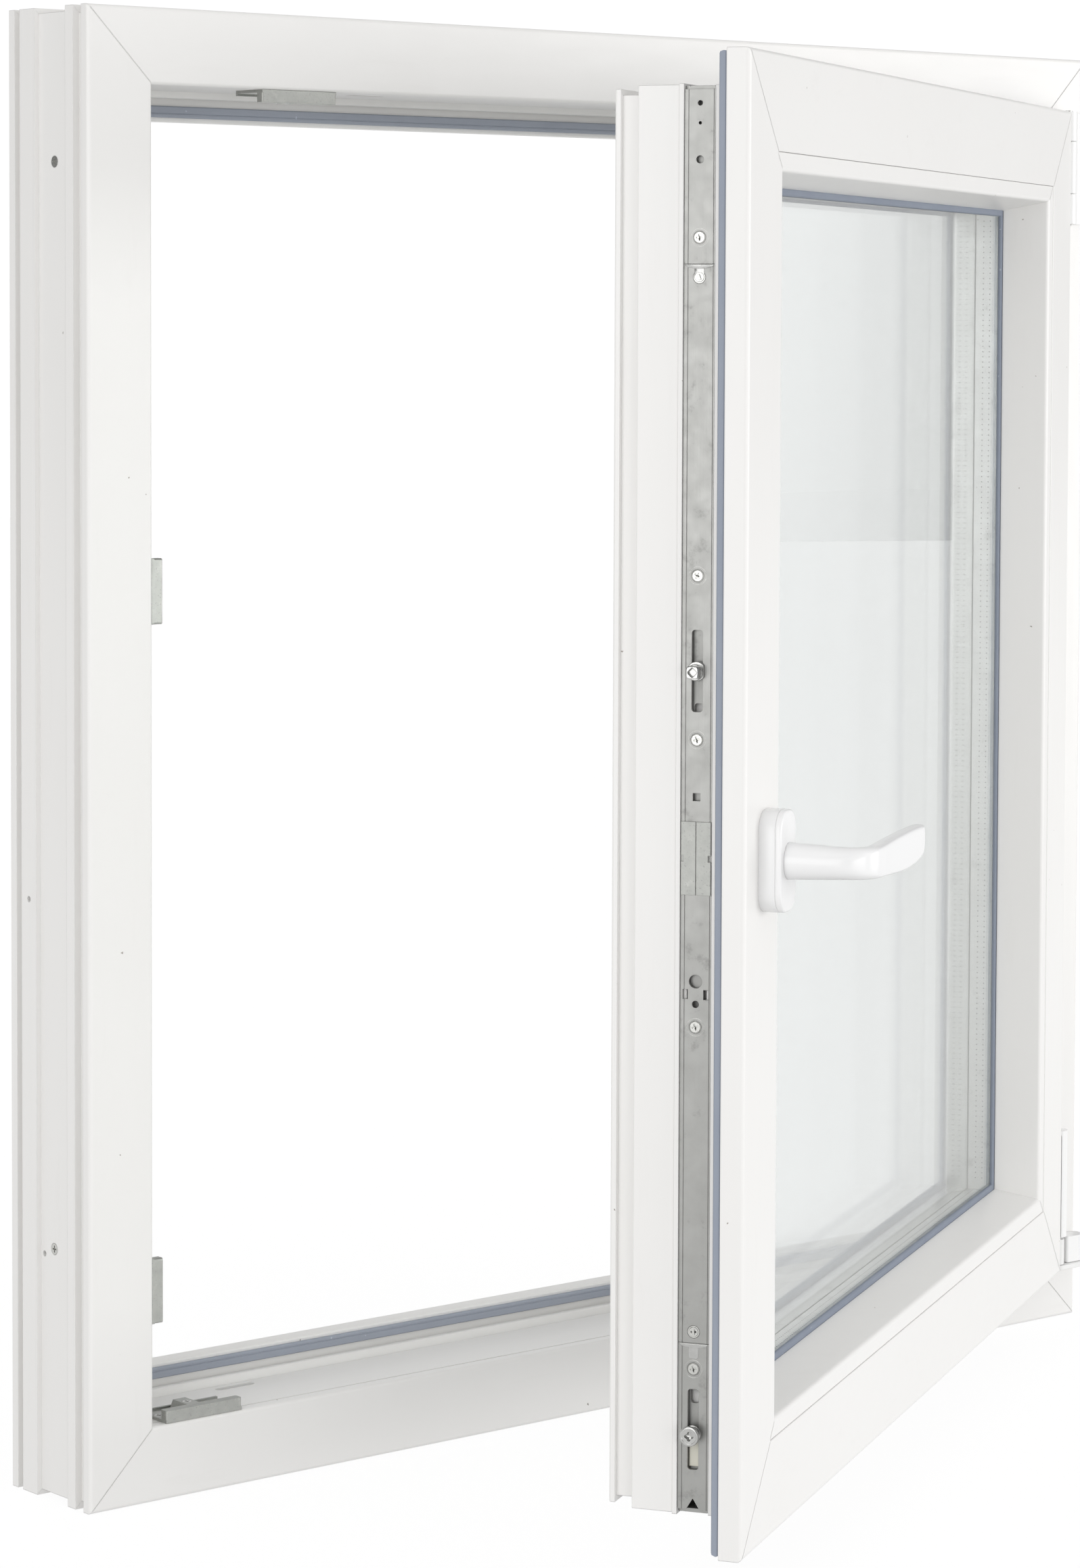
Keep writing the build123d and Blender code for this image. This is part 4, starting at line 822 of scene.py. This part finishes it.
def screwAt(point, normal, **sizes):
    names = {"head": "Head Radius", "height": "Head Height", "ring": "Ring Radius", "ringWidth": "Ring Width",
             "slot": "Slot Length", "width": "Slot Width", "seed": "Seed"}
    values = {names[key]: (value if key == "seed" else value * mm) for key, value in sizes.items()}
    values["Material"] = looks["screw"]
    return grow(screwTree, [(0, 0, 0)], [], values), toOpen @ towards(point, normal)


def makePlateScrews():
    groove, lockX = cams["groove"], plateLow.x + screws["sunk"]
    railLow, railHigh = shutBox("rail_plates")
    headZ, sillZ = railHigh.z - screws["sunk"], railLow.z + screws["sunk"]
    parts = []
    for count, z in enumerate(screws["ringed"]):
        parts.append(screwAt((lockX, groove, z), (-1, 0, 0), seed=count, **ringedSizes))
    for count, z in enumerate(screws["starred"]):
        parts.append(screwAt((lockX, groove, z), (-1, 0, 0), seed=count + 9, **starredSizes))
    for x in screws["guide"]:
        parts.append(screwAt((x, groove, headZ), (0, 0, 1), **railSizes))
    for z, normal in ((headZ, (0, 0, 1)), (sillZ, (0, 0, -1))):
        parts.append(screwAt((screws["rail"], groove, z), normal, **railSizes))
    joinMeshes("plateScrewHeads", parts, "screw", "sash")


spacer = {"rows": (6.2, 11.3), "pitch": 4.0, "radius": 0.42, "endGap": 8.0}


def makeSpacerHoles():
    # two rows of small drying holes along the sight face of each spacer, drawn as thin black discs: painted shade
    # for the dark inside of each hole
    half = -shutBox("bead_lock_side")[1].x
    low, high = shutBox("bead_bottom")[1].z, shutBox("bead_top")[0].z
    # the hole discs take the black sealant look as painted shade
    values = {"Hole Radius": spacer["radius"] * mm, "Pitch": spacer["pitch"] * mm, "Material": looks["sealantAndHoleShade"]}
    parts = []
    for pane in ("inner_pane", "middle_pane"):
        for row in spacer["rows"]:
            depth, tall, wide = shutBox(pane)[1].y + row, high - low, 2 * half
            for point, normal, length in (((-half, depth, (low + high) / 2), (1, 0, 0), tall),
                                          ((half, depth, (low + high) / 2), (-1, 0, 0), tall),
                                          ((0, depth, low), (0, 0, 1), wide),
                                          ((0, depth, high), (0, 0, -1), wide)):
                reach = (length / 2 - spacer["endGap"]) * mm
                upright = normal[0] != 0
                ends = [(0, -reach, 0), (0, reach, 0)] if upright else [(-reach, 0, 0), (reach, 0, 0)]
                parts.append((grow(holeTree, ends, [(0, 1)], values), toOpen @ towards(point, normal)))
    joinMeshes("spacerHoles", parts, "sealantAndHoleShade", "sash")


makePlateScrews()
makeSpacerHoles()
print("screw heads and spacer holes done")


# Small things on the faceplate: the bright tongue at each joint and the cream stop in the lower slot
plateBits = {"jointGap": 0.1, "half": 9.0, "rise": 0.35, "bow": 2.3, "bowSteps": 16, "tongue": (3.2, 6.6),
             "stop": (92.0, 109.0, 3.2)}


def makeJointTongues():
    shape = bmesh.new()
    out, groove, steps = plateLow.x, cams["groove"], plateBits["bowSteps"]
    for z in (plateHigh.z + plateBits["jointGap"], plateLow.z - plateBits["jointGap"]):
        rings = []
        for x, shrink in ((0.6, 0.0), (-plateBits["rise"] + 0.1, 0.0), (-plateBits["rise"], 0.25)):
            half, ring = plateBits["half"] - shrink, []
            for step in range(steps + 1):                    # a shallow bow under the joint line
                share = step / steps * 2 - 1
                ring.append(Vector((out + x, groove + share * half, z - 0.5 - shrink)))
            for step in range(steps + 1):
                share = 1 - step / steps * 2
                drop = plateBits["bow"] * math.sqrt(max(0.0, 1 - share * share * 0.97))
                ring.append(Vector((out + x, groove + share * half, z - 0.6 - drop + shrink)))
            rings.append(ring)
        skin(shape, rings)
        half, drop = plateBits["tongue"]
        tongue = []
        for x, shrink in ((0.6, 0.0), (-0.12, 0.0), (-0.2, 0.2)):
            a, b = half - shrink, z - 3.0 - drop + shrink
            outline = ((-a, z - 2.4), (-a, b + 1.0), (-a + 1.0, b), (a - 1.0, b), (a, b + 1.0), (a, z - 2.4))
            tongue.append([Vector((out + x, groove + u, v)) for u, v in outline])
        skin(shape, tongue)
    finishPiece("jointTongues", shape, "cam", "sash")


def makeSlotStop():
    low, high, half = plateBits["stop"]
    shape = bmesh.new()
    rings = []
    for x, s in ((3.55, 0.0), (2.8, 0.0), (2.5, 0.3)):
        outline = ((-1, low + s), (1, low + s), (1, high - s), (-1, high - s))
        rings.append([Vector((plateLow.x + x, cams["groove"] + u * (half - s), v)) for u, v in outline])
    skin(shape, rings)
    finishPiece("slotStop", shape, "stopPlastic", "lock_rod")


makeJointTongues()
makeSlotStop()
print("faceplate details done")


cameraView = {"place": (-2.047, -2.387, 0.798), "yaw": 39.4, "pitch": 2.99, "roll": 0.21,
              "lens": 99.5979, "shiftY": -0.154875}


def makeCamera():
    data = bpy.data.cameras.new("camera")
    data.sensor_width = 36.0
    data.lens = cameraView["lens"]
    data.shift_y = cameraView["shiftY"]
    camera = link(bpy.data.objects.new("camera", data))
    yaw, pitch = math.radians(cameraView["yaw"]), math.radians(cameraView["pitch"])
    forward = Vector((math.sin(yaw) * math.cos(pitch), math.cos(yaw) * math.cos(pitch), -math.sin(pitch)))
    turn = forward.to_track_quat("-Z", "Y").to_matrix().to_4x4()
    camera.matrix_world = (Matrix.Translation(cameraView["place"]) @ turn
                           @ Matrix.Rotation(math.radians(cameraView["roll"]), 4, "Z"))
    bpy.context.scene.camera = camera


makeCamera()

studio = {"backdrop": 1.04, "sky": 0.80, "ground": 0.60, "key": 33.0, "fill": 66.0, "front": 34.0,
          "floorGlow": 0.9, "floor": 0.09, "darkCard": 0.16, "brightCard": 0.95}


def areaLight(name, place, target, size, power):
    data = bpy.data.lights.new(name, "AREA")
    data.shape = "RECTANGLE"
    data.size, data.size_y = size
    data.energy = power
    light = link(bpy.data.objects.new(name, data))
    light.location = place
    light.rotation_mode = "QUATERNION"
    light.rotation_quaternion = (Vector(target) - Vector(place)).to_track_quat("-Z", "Y")


def makeStudio():
    scene = bpy.context.scene
    scene.view_settings.view_transform = "Standard"
    world = bpy.data.worlds.new("studio")
    world.use_nodes = True
    tree = world.node_tree
    sky = tree.nodes["Background"]
    sky.inputs["Color"].default_value = (1.0, 1.0, 1.0, 1.0)
    direction = addNode(tree, "ShaderNodeTexCoord")
    split = addNode(tree, "ShaderNodeSeparateXYZ")
    ramp = addNode(tree, "ShaderNodeMapRange")
    for label, value in (("From Min", -0.15), ("From Max", 0.35), ("To Min", studio["ground"]),
                         ("To Max", studio["sky"])):
        ramp.inputs[label].default_value = value
    tree.links.new(direction.outputs["Generated"], split.inputs[0])
    tree.links.new(split.outputs["Z"], ramp.inputs["Value"])
    cards = addNode(tree, "ShaderNodeTexNoise")          # dark and bright cards that the metal reflects
    cards.inputs["Scale"].default_value = 1.7
    cards.inputs["Detail"].default_value = 1.0
    tree.links.new(direction.outputs["Generated"], cards.inputs["Vector"])
    card = addNode(tree, "ShaderNodeMapRange")
    for label, value in (("From Min", 0.44), ("From Max", 0.58), ("To Min", studio["darkCard"]),
                         ("To Max", studio["brightCard"])):
        card.inputs[label].default_value = value
    tree.links.new(cards.outputs["Fac"], card.inputs["Value"])
    path = addNode(tree, "ShaderNodeLightPath")
    choice = addNode(tree, "ShaderNodeMix")
    tree.links.new(path.outputs["Is Glossy Ray"], choice.inputs["Factor"])
    tree.links.new(ramp.outputs["Result"], choice.inputs[2])
    tree.links.new(card.outputs["Result"], choice.inputs[3])
    tree.links.new(choice.outputs[0], sky.inputs["Strength"])
    backdrop = addNode(tree, "ShaderNodeBackground")
    backdrop.inputs["Color"].default_value = (1.0, 1.0, 1.0, 1.0)
    backdrop.inputs["Strength"].default_value = studio["backdrop"]
    mix = addNode(tree, "ShaderNodeMixShader")
    seen = addNode(tree, "ShaderNodeMath", operation="MAXIMUM")
    tree.links.new(path.outputs["Is Camera Ray"], seen.inputs[0])
    tree.links.new(path.outputs["Is Transmission Ray"], seen.inputs[1])
    tree.links.new(seen.outputs[0], mix.inputs[0])
    tree.links.new(sky.outputs[0], mix.inputs[1])
    tree.links.new(backdrop.outputs[0], mix.inputs[2])
    tree.links.new(mix.outputs[0], tree.nodes["World Output"].inputs["Surface"])
    scene.world = world
    areaLight("key", (-3.4, -1.5, 1.0), (0, 0, 0.45), (2.2, 2.2), studio["key"])
    areaLight("front", (-0.4, -4.2, 0.2), (0, 0, 0.3), (2.5, 1.6), studio["front"])
    areaLight("fill", (2.9, -3.0, 0.5), (0.2, 0, 0.4), (2.0, 2.0), studio["fill"])
    floorMesh = bpy.data.meshes.new("floor")
    reach, low = 12.0, cadBox[0].z - 0.0005
    corners = [(-reach, -reach, low), (reach, -reach, low), (reach, reach, low), (-reach, reach, low)]
    floorMesh.from_pydata(corners, [], [(0, 1, 2, 3)])
    material, _, shader = newMaterial("paleFloor", 0.9)
    shader.inputs["Base Color"].default_value = (*[studio["floor"]] * 3, 1.0)
    shader.inputs["Emission Color"].default_value = (1.0, 1.0, 1.0, 1.0)
    shader.inputs["Emission Strength"].default_value = studio["floorGlow"]
    floorMesh.materials.append(material)
    floor = link(bpy.data.objects.new("floor", floorMesh))
    floor.visible_diffuse = False    # the soffits then keep their shade


makeStudio()
print("camera and studio done")
